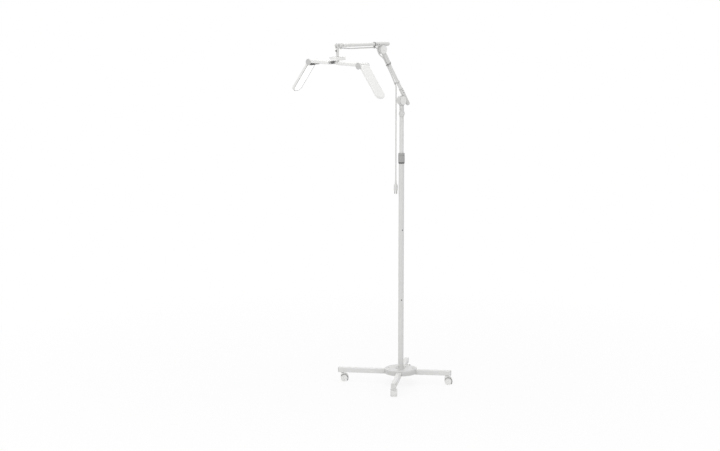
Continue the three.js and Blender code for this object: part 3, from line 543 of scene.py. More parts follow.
def addPlug():
    where = frameOf(Vector((hangRoute[-1].x, hangRoute[-1].y, 0)))
    top = lead["bottom"] - 0.3
    neck = top - plug["relief"]
    low = neck - plug["length"]
    profile = [(0, neck - 2), (5.4, neck - 2), (5.4, neck)]
    for k in range(plug["ribs"]):
        z = neck + 1.5 + k * 3.4
        r = 5.3 - 0.25 * k
        profile += [(r, z), (r, z + 1.9), (r - 0.9, z + 2.1), (r - 0.9, z + 3.2)]
    profile += [(3.7, top - 0.2), (3.1, top), (0, top)]
    relief = turned(profile, 0.25, 32, 2)
    half, deep = plug["width"] / 2, plug["depth"] / 2
    body = plateMesh(roundRect(-half, half, -deep, deep, 4), low, neck, 1.8)
    grips = [block(-half - 0.05, half + 0.05, -deep * 0.62, deep * 0.62, low + z, low + z + 1.2, 0.3)
             for z in (17, 20, 23)]
    face = plateMesh(roundRect(-half + 1.4, half - 1.4, -deep + 1.4, deep - 1.4, 3), low - 0.01, low + 2, 0.3)
    parts = [place("plugBody", body, where, plugShell, "hanging_lead", ["cord_plug"]),
             place("plugGrips", merged(*grips), where, capShell, "hanging_lead"),
             place("plugFace", face, where, clipGrey, "hanging_lead"),
             place("plugRelief", relief, where, plugShell, "hanging_lead")]
    for side in (-1, 1):
        x = side * plug["bladeGap"]
        blade = plateMesh(roundRect(-3.1, 3.1, -plug["bladeLength"], 1.5, 1.2, 4), -0.8, 0.8, 0.25)
        hole = rod(1.2, -2, 2, 0.1, 24)
        blade = cutBy(blade, moved(hole, shift(0, -plug["bladeLength"] + 4)))
        turn = where @ by(x, 0, low) @ spin(90, "Z") @ spin(90, "X")
        parts.append(place(f"plugBlade{'LR'[side > 0]}", blade, turn, zincPlate, "hanging_lead"))
    return parts


def addLead():
    plugParts = addPlug()
    hang = place("hangingCord", cordMesh(hangRoute), metres, cordSkin, "hanging_lead", ["cord_drop"])
    place("boomCord", cordMesh(boomRoute), metres, cordSkin, "boom", ["cord_boom"])
    place("armCord", cordMesh(armRoute), metres, cordSkin, "lower_arm", ["cord_arm"])
    loop = place("elbowCord", cordMesh(loopRoute), metres, cordSkin, None, ["cord_elbow"])
    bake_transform(loop)


addLead()
print("lead routed")


leg = dict(size=25, bottom=48, corner=3, turn=37, long=324, front=312, short=259, face=3, rim=3.2)
hub = dict(radius=84, top=79, height=25, wall=2.5, bore=14.6, sleeve=16.4, outerScrews=63, innerScrews=30,
           footRadius=22, footBore=14.15)
legReach = {"left": (180, leg["long"]), "front": (270, leg["front"]), "right": (0, leg["short"]),
            "rear": (90, leg["short"])}


def barAlongX(x0, x1, half, z0, z1, corner, edge):
    middle = (z0 + z1) / 2
    high = (z1 - z0) / 2
    bar = plateMesh(roundRect(-half, half, -high, high, corner, 6), x0, x1, edge)
    return moved(bar, shift(0, 0, middle) @ onEdge)


def screwHead(radius, height, slotWidth=1.1):
    # cross-recessed dome head with its top at height
    dome = [(0, 0), (radius, 0), (radius, height * 0.35)]
    for k in range(1, 6):
        a = math.pi / 2 * k / 6
        dome.append((radius * math.cos(a), height * 0.35 + height * 0.65 * math.sin(a)))
    dome.append((0, height))
    head = turnedMesh(dome, 32)
    long, half = radius * 0.62, slotWidth / 2
    recess = [block(-long, long, -half, half, height * 0.45, height + 1, 0.05),
              block(-half, half, -long, long, height * 0.45, height + 1, 0.05)]
    return cutBy(head, joined(*recess))


def addLegs():
    half = leg["size"] / 2
    top = leg["bottom"] + leg["size"]
    for side, (turn, reach) in legReach.items():
        where = baseFrame @ spin(turn + leg["turn"])
        tube = barAlongX(half + 0.3, reach, half, leg["bottom"], top, leg["corner"], 0.25)
        place(f"legTube_{side}", tube, where, legCoat, "base", [f"leg_{side}"])
        lip = barAlongX(reach + 0.3, reach + 0.3 + leg["face"], half, leg["bottom"], top, leg["corner"], 0.9)
        inset = barAlongX(reach + 1, reach + 0.25 + leg["face"], half - leg["rim"],
                          leg["bottom"] + leg["rim"], top - leg["rim"], 2, 0.1)
        groove = cutBy(lip, moved(inset, shift(leg["face"] * 0.72)))
        place(f"legEnd_{side}", groove, where, hingeShell, "base", [f"leg_plug_{side}"])
        washer = turned([(0, 0), (9, 0), (9, -1.4), (0, -1.4)], 0.4, 40)
        washer = moved(washer, shift(reach - 20, 0, leg["bottom"] - 0.1))
        place(f"stemWasher_{side}", washer, where, zincPlate, "base")


def addHub():
    top, outer, wall = hub["top"], hub["radius"], hub["wall"]
    low, inner, sleeve, bore = top - hub["height"], outer - wall, hub["sleeve"], hub["bore"]
    rim = [(sleeve, low + 6), (sleeve, top - wall), (inner, top - wall), (inner, low), (outer, low),
           (outer, top - 5.2), (outer - 1.2, top - 1.2), (outer - 5.2, top), (outer - 9, top),
           (outer - 9.5, top - 0.7), (outer - 10.5, top - 0.7), (outer - 11, top), (bore, top),
           (bore, top - 4), (sleeve, low + 6)]
    half = leg["size"] / 2 + 0.3
    notches = [moved(block(66, 96, -half, half, low - 4, leg["bottom"] + leg["size"] + 0.3, 0.4),
                     spin(leg["turn"] + 90 * k)) for k in range(4)]
    place("hubDisc", cutBy(turned(rim, 1.4, 128), *notches), baseFrame, hubCoat, "base", ["hub_cover"])
    reach, bore = hub["footRadius"], hub["footBore"]
    foot = [(bore, 0), (reach, 0), (reach, 1.6), (17.5, 3.4), (16.6, 9.5), (bore, 9.5), (bore, 0)]
    place("poleFoot", moved(turned(foot, 0.8, 72), shift(0, 0, top)), baseFrame, hubCoat, "base")
    rings = (("Outer", 3.4, hub["outerScrews"], 0), ("Inner", 2.8, hub["innerScrews"], 45))
    for k in range(4):
        for ring, size, reach, turn in rings:
            at = baseFrame @ spin(leg["turn"] + 90 * k + turn) @ by(reach, 0, top)
            place(f"hubScrew{ring}{k}", screwHead(size, 1.9), at @ spin(17 * k + 9), zincPlate, "base")


caster = dict(radius=18, width=13, gap=7.2, trail=8, clear=1.4, wall=1.8, web=5.6, axle=2.9)
# degrees round the axle that each hood covers, the low end on the side that shows
hoodSpan = {"left": (-42, 147), "front": (33, 222), "right": (-42, 147), "rear": (33, 222)}


def sectorMesh(inner, outer, a0, a1, x0, x1, steps=28):
    # part of a ring about X
    def outline(inset):
        points = []
        for k in range(steps + 1):
            a = math.radians(a0 + (a1 - a0) * k / steps)
            points.append(((outer - inset) * math.cos(a), (outer - inset) * math.sin(a)))
        for k in range(steps, -1, -1):
            a = math.radians(a0 + (a1 - a0) * k / steps)
            points.append(((inner + inset) * math.cos(a), (inner + inset) * math.sin(a)))
        return points
    return moved(plateMesh(outline, x0, x1, 0.5, 3), onEdge)


def casterHood(side):
    inner = caster["radius"] + caster["clear"]
    outer = inner + caster["wall"]
    half = caster["gap"] / 2 + caster["width"] - 0.8
    cover = sectorMesh(inner, outer, *hoodSpan[side], -half, half)
    web = alongX(rod(caster["radius"] * 0.72, -caster["web"] / 2, caster["web"] / 2, 0.4, 48))
    crown = block(-caster["web"] / 2, caster["web"] / 2, -10.5, 10.5, 2, inner + 0.9, 0.4)
    hood = joined(cover, web, crown)
    hood = moved(hood, shift(0, caster["trail"], caster["radius"]))
    neckLow = caster["radius"] + inner - 3
    neck = turned([(0, neckLow), (7.5, neckLow), (7.5, 44.5), (6.6, 46.3), (0, 46.3)], 0.6, 40)
    return joined(hood, neck)


# grey rims along the hood's side edges: painted shade of the gap between hood and wheels
def hoodEdgeShade(side):
    inner = caster["radius"] + caster["clear"]
    half = caster["gap"] / 2 + caster["width"] - 0.8
    rims = [sectorMesh(inner - 0.3, inner + caster["wall"] + 0.7, *hoodSpan[side], x0, x0 + 0.6)
            for x0 in (-half - 0.5, half - 0.1)]
    return moved(merged(*rims), shift(0, caster["trail"], caster["radius"]))


def casterWheel(side):
    near, far = caster["gap"] / 2, caster["gap"] / 2 + caster["width"]
    r = caster["radius"]
    profile = [(3.2, near), (r - 1.2, near), (r - 0.2, near + 1), (r - 0.2, near + 2.6), (r - 1, near + 3),
               (r - 1, far - 4), (r - 0.2, far - 3.6), (r - 0.2, far - 2), (r - 2.4, far - 0.2),
               (r - 4, far - 0.2), (r - 4.6, far - 1.4), (8, far - 1.9), (6.4, far - 0.3), (0.001, far - 0.3),
               (0, far - 0.3), (0, near + 1), (3.2, near)]
    wheel = turned(profile, 0.35, 64, 3)
    return alongX(wheel, side)


# dark band round each wheel: painted shade of the gap under the hood
def casterTreadShade(side):
    near, far = caster["gap"] / 2, caster["gap"] / 2 + caster["width"]
    band = ringBand(caster["radius"] - 1.4, caster["radius"], near + 2.8, far - 3.8, 0.4, 64)
    return alongX(band, side)


def addCasters():
    for side in sides:
        axis = Vector(joints[f"roll_{side}"]["axis"])
        across = Vector((0, 0, 1)).cross(axis)
        turn = Matrix((axis, across, Vector((0, 0, 1)))).transposed().to_4x4()
        foot = jointAt(f"swivel_{side}")
        where = frameOf(Vector((foot.x, foot.y, 0)), turn)
        axle = where @ by(0, caster["trail"], caster["radius"])
        place(f"casterHood_{side}", casterHood(side), where, hoodShell, f"caster_{side}",
              [f"caster_{side}_hood"], sharp=40)
        place(f"casterRims_{side}", hoodEdgeShade(side), where, rimShadeGrey, f"caster_{side}")
        stem = turned([(0, 45.8), (4.9, 45.8), (4.9, 47.8), (0, 47.8)], 0.3, 32)
        place(f"casterStem_{side}", stem, where, darkScrew, f"caster_{side}", slot="white_plastic")
        body = f"wheels_{side}"
        inside = caster["gap"] / 2 + 2
        wheels = merged(casterWheel(-1), casterWheel(1), alongX(rod(caster["axle"], -inside, inside)))
        place(f"casterWheels_{side}", wheels, axle, wheelShell, body, [f"caster_{side}_wheels"])
        place(f"casterTreadShade_{side}", merged(casterTreadShade(-1), casterTreadShade(1)), axle, treadShadeRing, body)


addLegs()
addHub()
addCasters()
print("base built")


pole = dict(lower=14, lowerBore=12.5, lowerLow=76.5, lowerTop=1172, upper=11, upperBore=9.8, upperLow=838,
            upperTop=1388, collar=16.5, collarLow=1148, collarHeight=54, flutes=36,
            screws=((805, -20), (440, -35)))


def flutedRing(radius, deep, z0, z1, count):
    steps = count * 6

    def outline(inset):
        points = []
        for k in range(steps):
            a = 2 * math.pi * k / steps
            r = radius - inset - deep * (0.5 - 0.5 * math.cos(count * a))
            points.append((r * math.cos(a), r * math.sin(a)))
        return points
    return plateMesh(outline, z0, z1, 0.5, 3)


def addPole():
    for name, look, body in (("lower", poleCoat, "base"), ("upper", tubeCoat, "mast")):
        r, bore, z0, z1 = [pole[name + value] for value in ("", "Bore", "Low", "Top")]
        tube = turnedMesh([(bore, z0), (r, z0), (r, z1), (bore, z1), (bore, z0)], 96)
        place(f"{name}Pole", tube, baseFrame, look, body, [f"{name}_pole"])
    low, high, r = pole["collarLow"], pole["collarLow"] + pole["collarHeight"], pole["collar"]
    onLower, onUpper = pole["lower"] + 0.3, pole["upper"] + 0.4
    skirt = ringBand(onLower, r - 0.8, low, low + 7, 0.7, 96)
    place("collarSkirt", skirt, baseFrame, darkBand, "collar", slot="grey_plastic")
    grip = cutBy(flutedRing(r, 0.55, low + 7.6, high - 12, pole["flutes"]), rod(onLower, low, high + 2))
    place("collarGrip", grip, baseFrame, collarGrip, "collar", ["lock_collar"])
    crown = turned([(onUpper, high - 11.6), (r - 0.3, high - 11.6), (r - 0.3, high - 3), (r - 2.6, high),
                    (onUpper, high), (onUpper, high - 11.6)], 0.9, 96)
    place("collarCrown", crown, baseFrame, collarGrip, "collar")
    line = ringBand(onUpper + 0.1, r - 1.1, high - 12.4, high - 11.4, 0.1, 96)
    place("collarLine", line, baseFrame, darkBand, "collar", slot="grey_plastic")
    for k, (z, turn) in enumerate(pole["screws"]):
        at = baseFrame @ by(0, 0, z) @ spin(turn) @ by(pole["lower"] - 0.4) @ spin(90, "Y")
        place(f"poleScrew{k}", screwHead(3.0, 1.5), at, darkScrew, "base")


addPole()
print("pole built")


drum = dict(radius=23, depth=26, cap=2.6, gap=0.3, bolt=4, sleeve=10.5, front=52, back=50, radial=11.3,
            post=11.6, neckLow=1390.8, elbowReach=84)
halfDepth = drum["depth"] / 2
faceX = halfDepth - drum["cap"] - drum["gap"]


def drumHalf(x0, x1):
    return alongX(rod(drum["radius"], x0, x1, 1.0, 96))


def drumRoom(x0, x1):
    return alongX(rod(drum["radius"] + 0.5, x0, x1, 0.05, 96))


def radialHalf(radius, reach):
    wall = drumHalf(0.15, faceX)
    sleeve = rod(radius, -reach, 0, 1.2, 72)
    sleeve = cutBy(sleeve, drumRoom(-20, 0.15), drumRoom(faceX, 20))
    return joined(wall, sleeve)


def tangentHalf():
    wall = drumHalf(-halfDepth, -0.15)
    back, r = drum["back"], drum["sleeve"]
    dome = [(0, -back)]
    for k in range(1, 9):
        a = math.pi / 2 * k / 8
        dome.append((r * math.sin(a), -back + r * (1 - math.cos(a))))
    sleeve = turnedMesh(dome + softened([(r, 40), (r, drum["front"]), (0, drum["front"])], 1.2)[1:], 72)
    sleeve = moved(sleeve, shift(0, arm["offset"]))
    sleeve = cutBy(sleeve, drumRoom(-0.15, 20))
    dish = alongX(ringBand(9.4, 19.5, -halfDepth - 1, -halfDepth + 0.7, 0.3, 96))
    recess = alongX(rod(8.3, -halfDepth - 1, -halfDepth + 5.3, 0.1, 48))
    return cutBy(joined(wall, sleeve), dish, recess)


def capDisc():
    x0 = halfDepth - drum["cap"]
    r = drum["radius"] - 1.1
    face = [(0, x0 + 0.2), (r, x0 + 0.2), (r, halfDepth - 0.9), (r - 1.0, halfDepth), (r - 3.0, halfDepth),
            (r - 3.5, halfDepth - 0.55), (7.2, halfDepth - 0.75), (6.8, halfDepth - 0.15),
            (0, halfDepth - 0.15)]
    return alongX(turned(face, 0.35, 96))


# grey band round the drum's rim by the cap: painted shade of the groove and side wall
def capRimShade():
    x0 = halfDepth - drum["cap"]
    return alongX(ringBand(drum["radius"] - 2.2, drum["radius"], x0, halfDepth - 1.1, 0.5, 96))


def boltHead():
    head = -halfDepth + 0.7
    shank = drum["bolt"]
    body = turned([(0, head), (7.9, head), (7.9, head + 4), (shank, head + 4), (shank, 6), (0, 6)], 0.5, 48)
    key = alongX(turnedMesh([(0, -20), (3.1, -20), (3.1, head + 2.4), (0, head + 2.4)], 6))
    return cutBy(alongX(body), key)


def shadowRing(radius, z0, z1):
    return ringBand(radius - 1.2, radius, z0, z1, 0.15, 72)


def cordClip(z0, z1, ring, x, drop):
    eye = moved(rod(4.6, z0, z1, 0.6, 40), shift(x, -drop))
    reach = math.hypot(x, drop)
    bridge = block(-2.6, 2.6, -reach, -9.2, z0 + 0.2, z1 - 0.2, 0.5)
    bridge = moved(bridge, spin(math.degrees(math.atan2(-drop, x)) + 90))
    clip = joined(rod(ring, z0, z1, 0.6, 72), bridge, eye)
    clip = cutBy(clip, rod(8.75, z0 - 2, z1 + 2), moved(rod(3.25, z0 - 2, z1 + 2), shift(x, -drop)))
    return moved(clip, shift(0, arm["offset"]))


def addHinges():
    reach = shoulderAt.z / mm - drum["neckLow"]
    for side, name, radius, low, where, body, stand in (
            ("shoulder", "postNeck", drum["post"], reach, postFrame, "post", "arm_post"),
            ("elbow", "elbowArm", drum["radial"], drum["elbowReach"], elbowFrame, "lower_arm",
             "elbow_bracket")):
        place(name, radialHalf(radius, low), where, hingeShell, body, [stand], bevel=0.5)
        place(f"{side}Cap", capDisc(), where, whiteShell, body, [f"{side}_cap"])
        place(f"{side}Rim", capRimShade(), where, rimShadeGrey, body)
        place(f"{side}Bolt", boltHead(), where, zincPlate, body, [f"{side}_bolt"])
    # thin dark ring where the neck enters the drum: painted shadow in the joint
    neckShadow = shadowRing(drum["post"] + 0.25, -26.6, -25.4)
    place("neckShadowRing", neckShadow, postFrame, darkBand, "post")
    place("shoulderArm", tangentHalf(), lowerFrame, hingeShell, "lower_arm", ["shoulder_bracket"], bevel=0.5)
    place("boomRear", tangentHalf(), boomFrame, hingeShell, "boom", ["boom_bracket"], bevel=0.5)


def tubeMesh(z0, z1):
    r, wall = arm["tube"], arm["wall"]
    pipe = turnedMesh([(r - wall, z0), (r, z0), (r, z1), (r - wall, z1), (r - wall, z0)], 72)
    return moved(pipe, shift(0, arm["offset"]))


def setScrew(z):
    # small grub screw in a sleeve
    return moved(alongX(screwHead(2.0, 0.9, 0.7)), shift(drum["sleeve"] - 0.15, arm["offset"], z))


def addArms():
    arms = (("lowerArm", "shoulder", lowerFrame, "lower_arm", arm["lowerTubeEnd"]),
            ("boom", "boom", boomFrame, "boom", arm["boomLength"] - 15))
    for name, hinge, where, body, end in arms:
        place(f"{name}Tube", tubeMesh(arm["tubeStart"], end), where, tubeCoat, body, [f"{body}_tube"])
        for mark, z in (("A", 30), ("B", 44)):
            place(f"{hinge}Grub{mark}", setScrew(z), where, darkScrew, body)
    held = (("boom", drum["sleeve"] + 1, 0, lead["boomDrop"], boomFrame, clipGrey, "boom"),
            ("arm", drum["radial"] + 1, 0, lead["armDrop"], lowerFrame, clipGrey, "lower_arm"),
            ("low", arm["tube"] + 1.6, lead["lowX"], lead["lowDrop"], lowerFrame, capShell, "lower_arm"))
    for name, ring, x, drop, where, look, body in held:
        place(f"{name}Clip", cordClip(*clips[name], ring, x, drop), where, look, body)
    # thin grey ring where the tube enters the sleeve: painted shadow in the groove
    ring = moved(shadowRing(arm["tube"] + 1.3, 52, 53.4), shift(0, arm["offset"]))
    place("lowerSleeveShadowRing", ring, lowerFrame, clipGrey, "lower_arm")


knob = dict(radius=16, depth=15, z=1406, turn=-45, flutes=14)


def gripKnob(radius, start, depth, flutes):
    end = start + depth
    grip = flutedRing(radius, radius * 0.075, start, end, flutes)
    face = turned([(0, end - 1), (radius * 0.74, end - 1), (radius * 0.74, end - 0.1), (radius * 0.6, end),
                   (radius * 0.55, end - 0.5), (0, end - 0.5)], 0.3)
    pocket = rod(radius * 0.76, end - 1.2, end + 2, 0.1)
    return cutBy(grip, pocket), face


def addPostKnob():
    start = drum["post"] + 3
    grip, face = gripKnob(knob["radius"], start, knob["depth"], knob["flutes"])
    where = frameOf(Vector((poleAt.x, poleAt.y, knob["z"] * mm)), spin(knob["turn"]), spin(90, "Y"))
    place("clampKnob", grip, where, hingeShell, "post_knob", ["clamp_knob"])
    place("clampKnobFace", face, where, hingeShell, "post_knob")
    shank = rod(5.2, 9.6, start + 0.4, 0.3, 40)
    place("clampShank", shank, where, darkScrew, "post_knob")


addHinges()
addArms()
addPostKnob()
print("arm built")


head = dict(fork=10.5, knuckle=10, tongue=8, clevis=18, stem=7, stemDrop=53.5, pin=2.5, tiltKnob=6,
            swivelDrop=26, boxX=48, boxY=73, boxHeight=17, lid=5, boxCorner=9, button=4.5, buttonPitch=14,
            buttonFront=14, boss=9, bossHeight=22)
boxTop = -head["stemDrop"] - 0.3
boxBottom = boxTop - head["boxHeight"]
lidBottom = boxTop - head["lid"]


def addFork():
    r, knuckle, half = head["fork"], head["knuckle"], head["tongue"] / 2
    sleeve = turned([(0, -knuckle - 19), (r, -knuckle - 19), (r, -knuckle - 2.5), (r - 3.2, -knuckle),
                     (0, -knuckle)], 0.8, 72)
    tongue = joined(block(-half, half, -8, 8, -knuckle - 2, 0, 0.6), alongX(rod(8, -half, half, 0.6, 48)))
    bore = alongX(rod(head["pin"] + 0.35, -10, 10, 0.05, 32))
    gland = moved(turned([(0, -27), (3.8, -27), (4.6, -24.5), (4.6, -20), (0, -19)], 0.5, 40),
                  shift(0, 13 - arm["offset"]))
    place("boomFork", joined(cutBy(joined(sleeve, tongue), bore), gland), forkFrame, hingeShell, "boom",
          ["boom_fork"])
    # thin grey ring where the tube enters the fork sleeve: painted shadow in the groove
    ring = shadowRing(arm["tube"] + 1.5, -knuckle - 20.6, -knuckle - 19.3)
    place("forkShadowRing", ring, forkFrame, clipGrey, "boom")


def addClevis():
    half, slotHalf, k = head["clevis"] / 2, head["tongue"] / 2 + 0.35, head["knuckle"]
    cheeks = joined(alongX(rod(k, -half, half, 1.2, 72)), block(-half, half, -7.5, 7.5, -15, 0, 1.0))
    low = -head["stemDrop"]
    stem = turned([(0, low), (head["stem"], low), (head["stem"], -14), (5, -11.5), (0, -11.5)], 0.6)
    room = block(-slotHalf, slotHalf, -k - 1, k + 1, -k - 0.5, k + 1, 0.1)
    bore = alongX(rod(head["pin"] + 0.35, -12, 12, 0.05, 32))
    place("headClevis", cutBy(joined(cheeks, stem), room, bore), headFrame, hingeShell, "head_stem",
          ["head_clevis"], bevel=0.25)
    band = ringBand(6.2, head["stem"] + 0.25, low + 0.1, low + 1.8, 0.2, 64)
    place("stemBand", band, headFrame, clipGrey, "head_stem")
    boss = moved(rod(4.0, 5.6, 8.3, 0.5, 40), spin(90, "X"))
    place("swivelBoss", moved(boss, shift(0, 0, -head["swivelDrop"])), headFrame, hingeShell, "head_stem")


def addHeadScrews():
    start = head["clevis"] / 2 + 0.3
    grip, face = gripKnob(head["tiltKnob"], start, 6.6, 10)
    left = headFrame @ spin(-90, "Y")
    place("tiltKnob", grip, left, whiteShell, "tilt_knob", ["head_screw"], slot="pale_grey_plastic")
    place("tiltKnobFace", face, left, capShell, "tilt_knob")
    pin = alongX(rod(head["pin"] - 0.1, -start, start + 0.2, 0.2, 32))
    nut = moved(turned([(0, 0), (4.4, 0), (4.4, 2), (0, 2)], 0.4, 6), toX @ shift(0, 0, start))
    place("tiltPin", joined(pin, nut), headFrame, zincPlate, "tilt_knob")
    where = headFrame @ by(0, 0, -head["swivelDrop"]) @ spin(90, "X")
    shank = rod(2.0, 5.6, 9, 0.2, 32)
    place("swivelShank", shank, where, zincPlate, "swivel_knob")
    grip, face = gripKnob(4.5, 8.5, 4.2, 9)
    place("swivelKnob", grip, where, darkBand, "swivel_knob", ["swivel_screw"], slot="grey_plastic")
    place("swivelTip", rod(2.9, 12.0, 13.0, 0.3, 40), where, capShell, "swivel_knob", slot="grey_plastic")
    place("swivelKnobFace", face, where, clipGrey, "swivel_knob")


def boxOutline(grow):
    x, y = head["boxX"] / 2 + grow, head["boxY"] / 2 + grow
    return roundRect(-x, x, -y, y, head["boxCorner"] + grow, 10)


def boxPlate(grow, z0, z1, edge):
    return plateMesh(boxOutline(grow), z0, z1, edge)


def buttonPlaces():
    y = -head["boxY"] / 2 + head["buttonFront"]
    return (("power", -head["buttonPitch"] / 2, y), ("dimmer", head["buttonPitch"] / 2, y))


def addBox():
    floor = boxBottom
    hollow = boxPlate(-2, floor + 2, lidBottom + 2, 0.3)
    tray = cutBy(boxPlate(0, floor, lidBottom - 0.3, 1.6), hollow)
    ribs = [block(-18 + 6 * k, -16.6 + 6 * k, 22, 30, floor - 0.2, floor + 0.5, 0.1) for k in range(7)]
    place("controlTray", cutBy(tray, *ribs), headFrame, boxShell, "head", ["box_tray"])
    core = boxPlate(-0.9, lidBottom - 1.4, lidBottom + 1.2, 0.1)
    place("controlSeam", cutBy(core, boxPlate(-2.2, lidBottom - 3, lidBottom + 3, 0.1)), headFrame,
          clipGrey, "head", slot="dark_plastic")
    lid = boxPlate(0, lidBottom, boxTop, 1.8)
    under = boxPlate(-2, lidBottom - 1, boxTop - 2, 0.3)
    wells = []
    for _, x, y in buttonPlaces():
        wells.append(moved(rod(head["button"] + 0.35, lidBottom - 1, boxTop + 1, 0.05), shift(x, y)))
        ring = ringBand(head["button"] + 0.2, head["button"] + 1.9, boxTop - 0.35, boxTop + 1, 0.2)
        wells.append(moved(ring, shift(x, y)))
    lamp = moved(rod(0.9, boxTop - 0.3, boxTop + 1, 0.05, 24), shift(0, -head["boxY"] / 2 + 24))
    place("controlLid", cutBy(cutBy(lid, under), *wells, lamp), headFrame, boxShell, "head", ["box_lid"])
    for name, x, y in buttonPlaces():
        b = head["button"]
        key = turned([(0, boxTop - 2.5), (b, boxTop - 2.5), (b, boxTop + 1), (b - 1.4, boxTop + 1),
                      (0, boxTop + 0.6)], 0.5, 56)
        place(f"{name}Key", moved(key, shift(x, y)), headFrame, capShell, f"{name}_key", [f"{name}_button"])
    dot = moved(rod(0.8, boxTop - 0.6, boxTop - 0.12, 0.1, 24), shift(0, -head["boxY"] / 2 + 24))
    place("statusDot", dot, headFrame, darkBand, "head")
    for k, (sx, sy) in enumerate(((-1, -1), (1, -1), (-1, 1), (1, 1))):
        at = headFrame @ by(sx * 17.5, sy * 30, boxBottom + 0.2) @ spin(180, "X")
        place(f"trayScrew{k}", screwHead(2.1, 0.9, 0.7), at, zincPlate, "head")


link = dict(inner=33, half=31.5, thick=17, corner=5, topDrop=5, hingeX=174, hingeDrop=13, ear=15, farEar=12.9,
            earWall=5, barrel=12, clear=1.2, pin=3, cap=16.7, farCap=12.9, capDepth=2.2)
linkTop = boxBottom - link["topDrop"]
linkBottom = linkTop - link["thick"]
hingeZ = linkTop - link["hingeDrop"]


def addCentre():
    top = boxBottom - 0.3
    r = head["boss"]
    boss = turned([(0, top - head["bossHeight"]), (r, top - head["bossHeight"]), (r, top), (0, top)], 0.7, 72)
    middle = (linkTop + linkBottom) / 2
    # the plate is white painted metal; its left half is drawn dark: painted shade under the control box, left
    # of the boss
    bright = block(-8, 54, -12, 12, middle - 2.5, middle + 2.5, 0.5)
    shaded = block(-54, -8.2, -12, 12, middle - 2.5, middle + 2.5, 0.5)
    place("centreBracket", joined(boss, bright), headFrame, whiteShell, "head", ["centre_bracket"],
          slot="white_painted_metal")
    place("centreWebPaintedShade", shaded, headFrame, darkBand, "head", slot="white_painted_metal")
    for k, (x, y) in enumerate(((-24, -7), (-24, 7), (24, -7), (24, 7))):
        at = headFrame @ by(x, y, middle + 2.4)
        place(f"bracketScrew{k}", screwHead(2.6, 1.3, 0.9), at @ spin(31 * k), zincPlate, "head")


def farSign(side):
    # which way along a light arm's own Y the rear of the lamp lies
    return 1 if side == "right" else -1


def linkFrame(side):
    return headFrame @ spin(180 if side == "left" else 0)


def wingFrame(side):
    turn = 180 if side == "left" else 0
    return frameOf(jointAt(f"wing_fold_{side}"), spin(turn), spin(arm["droop"], "Y"))


def addLink(side):
    where = linkFrame(side)
    room = link["barrel"] + link["clear"]
    inside = link["half"] - link["earWall"]
    hinge = shift(link["hingeX"], 0, hingeZ)
    plate = barAlongX(link["inner"], link["hingeX"] - room * 0.6, link["half"], linkBottom, linkTop,
                      link["corner"], 1.4)
    ears = []
    for sign in (-1, 1):
        ends = sorted((sign * inside, sign * link["half"]))
        size = link["farEar"] if sign == farSign(side) else link["ear"]
        ears.append(moved(alongY(rod(size, ends[0], ends[1], 0.8, 72)), hinge))
    barrelRoom = moved(alongY(rod(room, -inside, inside, 0.05, 72)), hinge)
    bore = moved(pinBore(), hinge)
    middle = (linkTop + linkBottom) / 2

    def plateRoom(x0, x1):
        # round the plate that joins the two light arms
        return block(x0, x1, -12.3, 12.3, middle - 2.8, middle + 2.8, 0.1)

    scoop = block(112, 160, -24, 24, linkBottom - 4, linkBottom + 1.2, 1.0)
    groove = [block(link["inner"] + 6, 146, s * 27.5 - 0.35, s * 27.5 + 0.35, linkTop - 0.5, linkTop + 1, 0.1)
              for s in (-1, 1)]
    body = cutBy(joined(plate, *ears), barrelRoom, bore, plateRoom(link["inner"] - 2, 54.3), scoop, *groove)
    place(f"lightArm_{side}", body, where, whiteShell, "head", [f"link_{side}"], bevel=0.3)
    # grey plate on the arm's white inner end face: painted shade under the control box
    endShadePlate = barAlongX(link["inner"] - 0.6, link["inner"] + 0.6, link["half"] - 2.4, linkBottom + 2.2,
                         linkTop - 2.2, 3.5, 0.2)
    place(f"armEnd_{side}", cutBy(endShadePlate, plateRoom(20, 40)), where, capShell, "head",
          slot="white_plastic")
    # dark block under the arm by the hinge: painted shade between the arm and the wing root
    apronShade = block(155.5, 160.8, -27.5, 27.5, linkBottom - 8, linkBottom + 1.5, 0.5)
    place(f"hingeApronShade_{side}", apronShade, where, darkBand, "head")
    back = farSign(side)
    # dark plate on the arm's inner end face: painted shade of the recess under the control box
    ends = sorted((-9 * back, 19 * back))
    endShade = block(link["inner"] - 0.9, link["inner"] + 0.5, *ends, linkBottom + 2, linkTop - 1.8, 0.3)
    place(f"armMouthShade_{side}", cutBy(endShade, plateRoom(20, 40)), where, clipGrey, "head",
          slot="dark_plastic")
    for k, x in enumerate((62, 128)):
        for s in (-1, 1):
            at = where @ by(x, s * 21, linkBottom + 0.4) @ spin(180, "X")
            if k:
                at = at @ by(0, 0, -1.4)
            place(f"armScrew_{side}{k}{'ab'[s > 0]}", screwHead(2.2, 1.0, 0.8), at, zincPlate, "head")


def addPin(side):
    where = frameOf(jointAt(f"wing_fold_{side}"))
    caps = []
    for sign, radius in ((-1, link["cap"]), (1, link["farCap"])):
        inner = link["half"] + 0.3
        outer = inner + link["capDepth"]
        face = [(0, inner), (radius, inner), (radius, outer - 0.9), (radius - 1.0, outer),
                (radius - 2.8, outer), (radius - 3.3, outer - 0.45), (6.4, outer - 0.6),
                (6.0, outer - 0.1), (0, outer - 0.1)]
        caps.append(alongY(turned(face, 0.25, 72), sign))
    place(f"hingeCaps_{side}", merged(*caps), where, capShell, "head", [f"wing_pin_{side}"])
    pin = alongY(rod(link["pin"], -link["half"] - 0.4, link["half"] + 0.4, 0.1, 40))
    place(f"hingePin_{side}", pin, where, darkScrew, "head")


wing = dict(length=196, half=28, thick=13, under=1, wall=2, tip=24, start=16, tray=20, skirt=22,
            diffuser=2.4, board=1.4, chip=2.8)


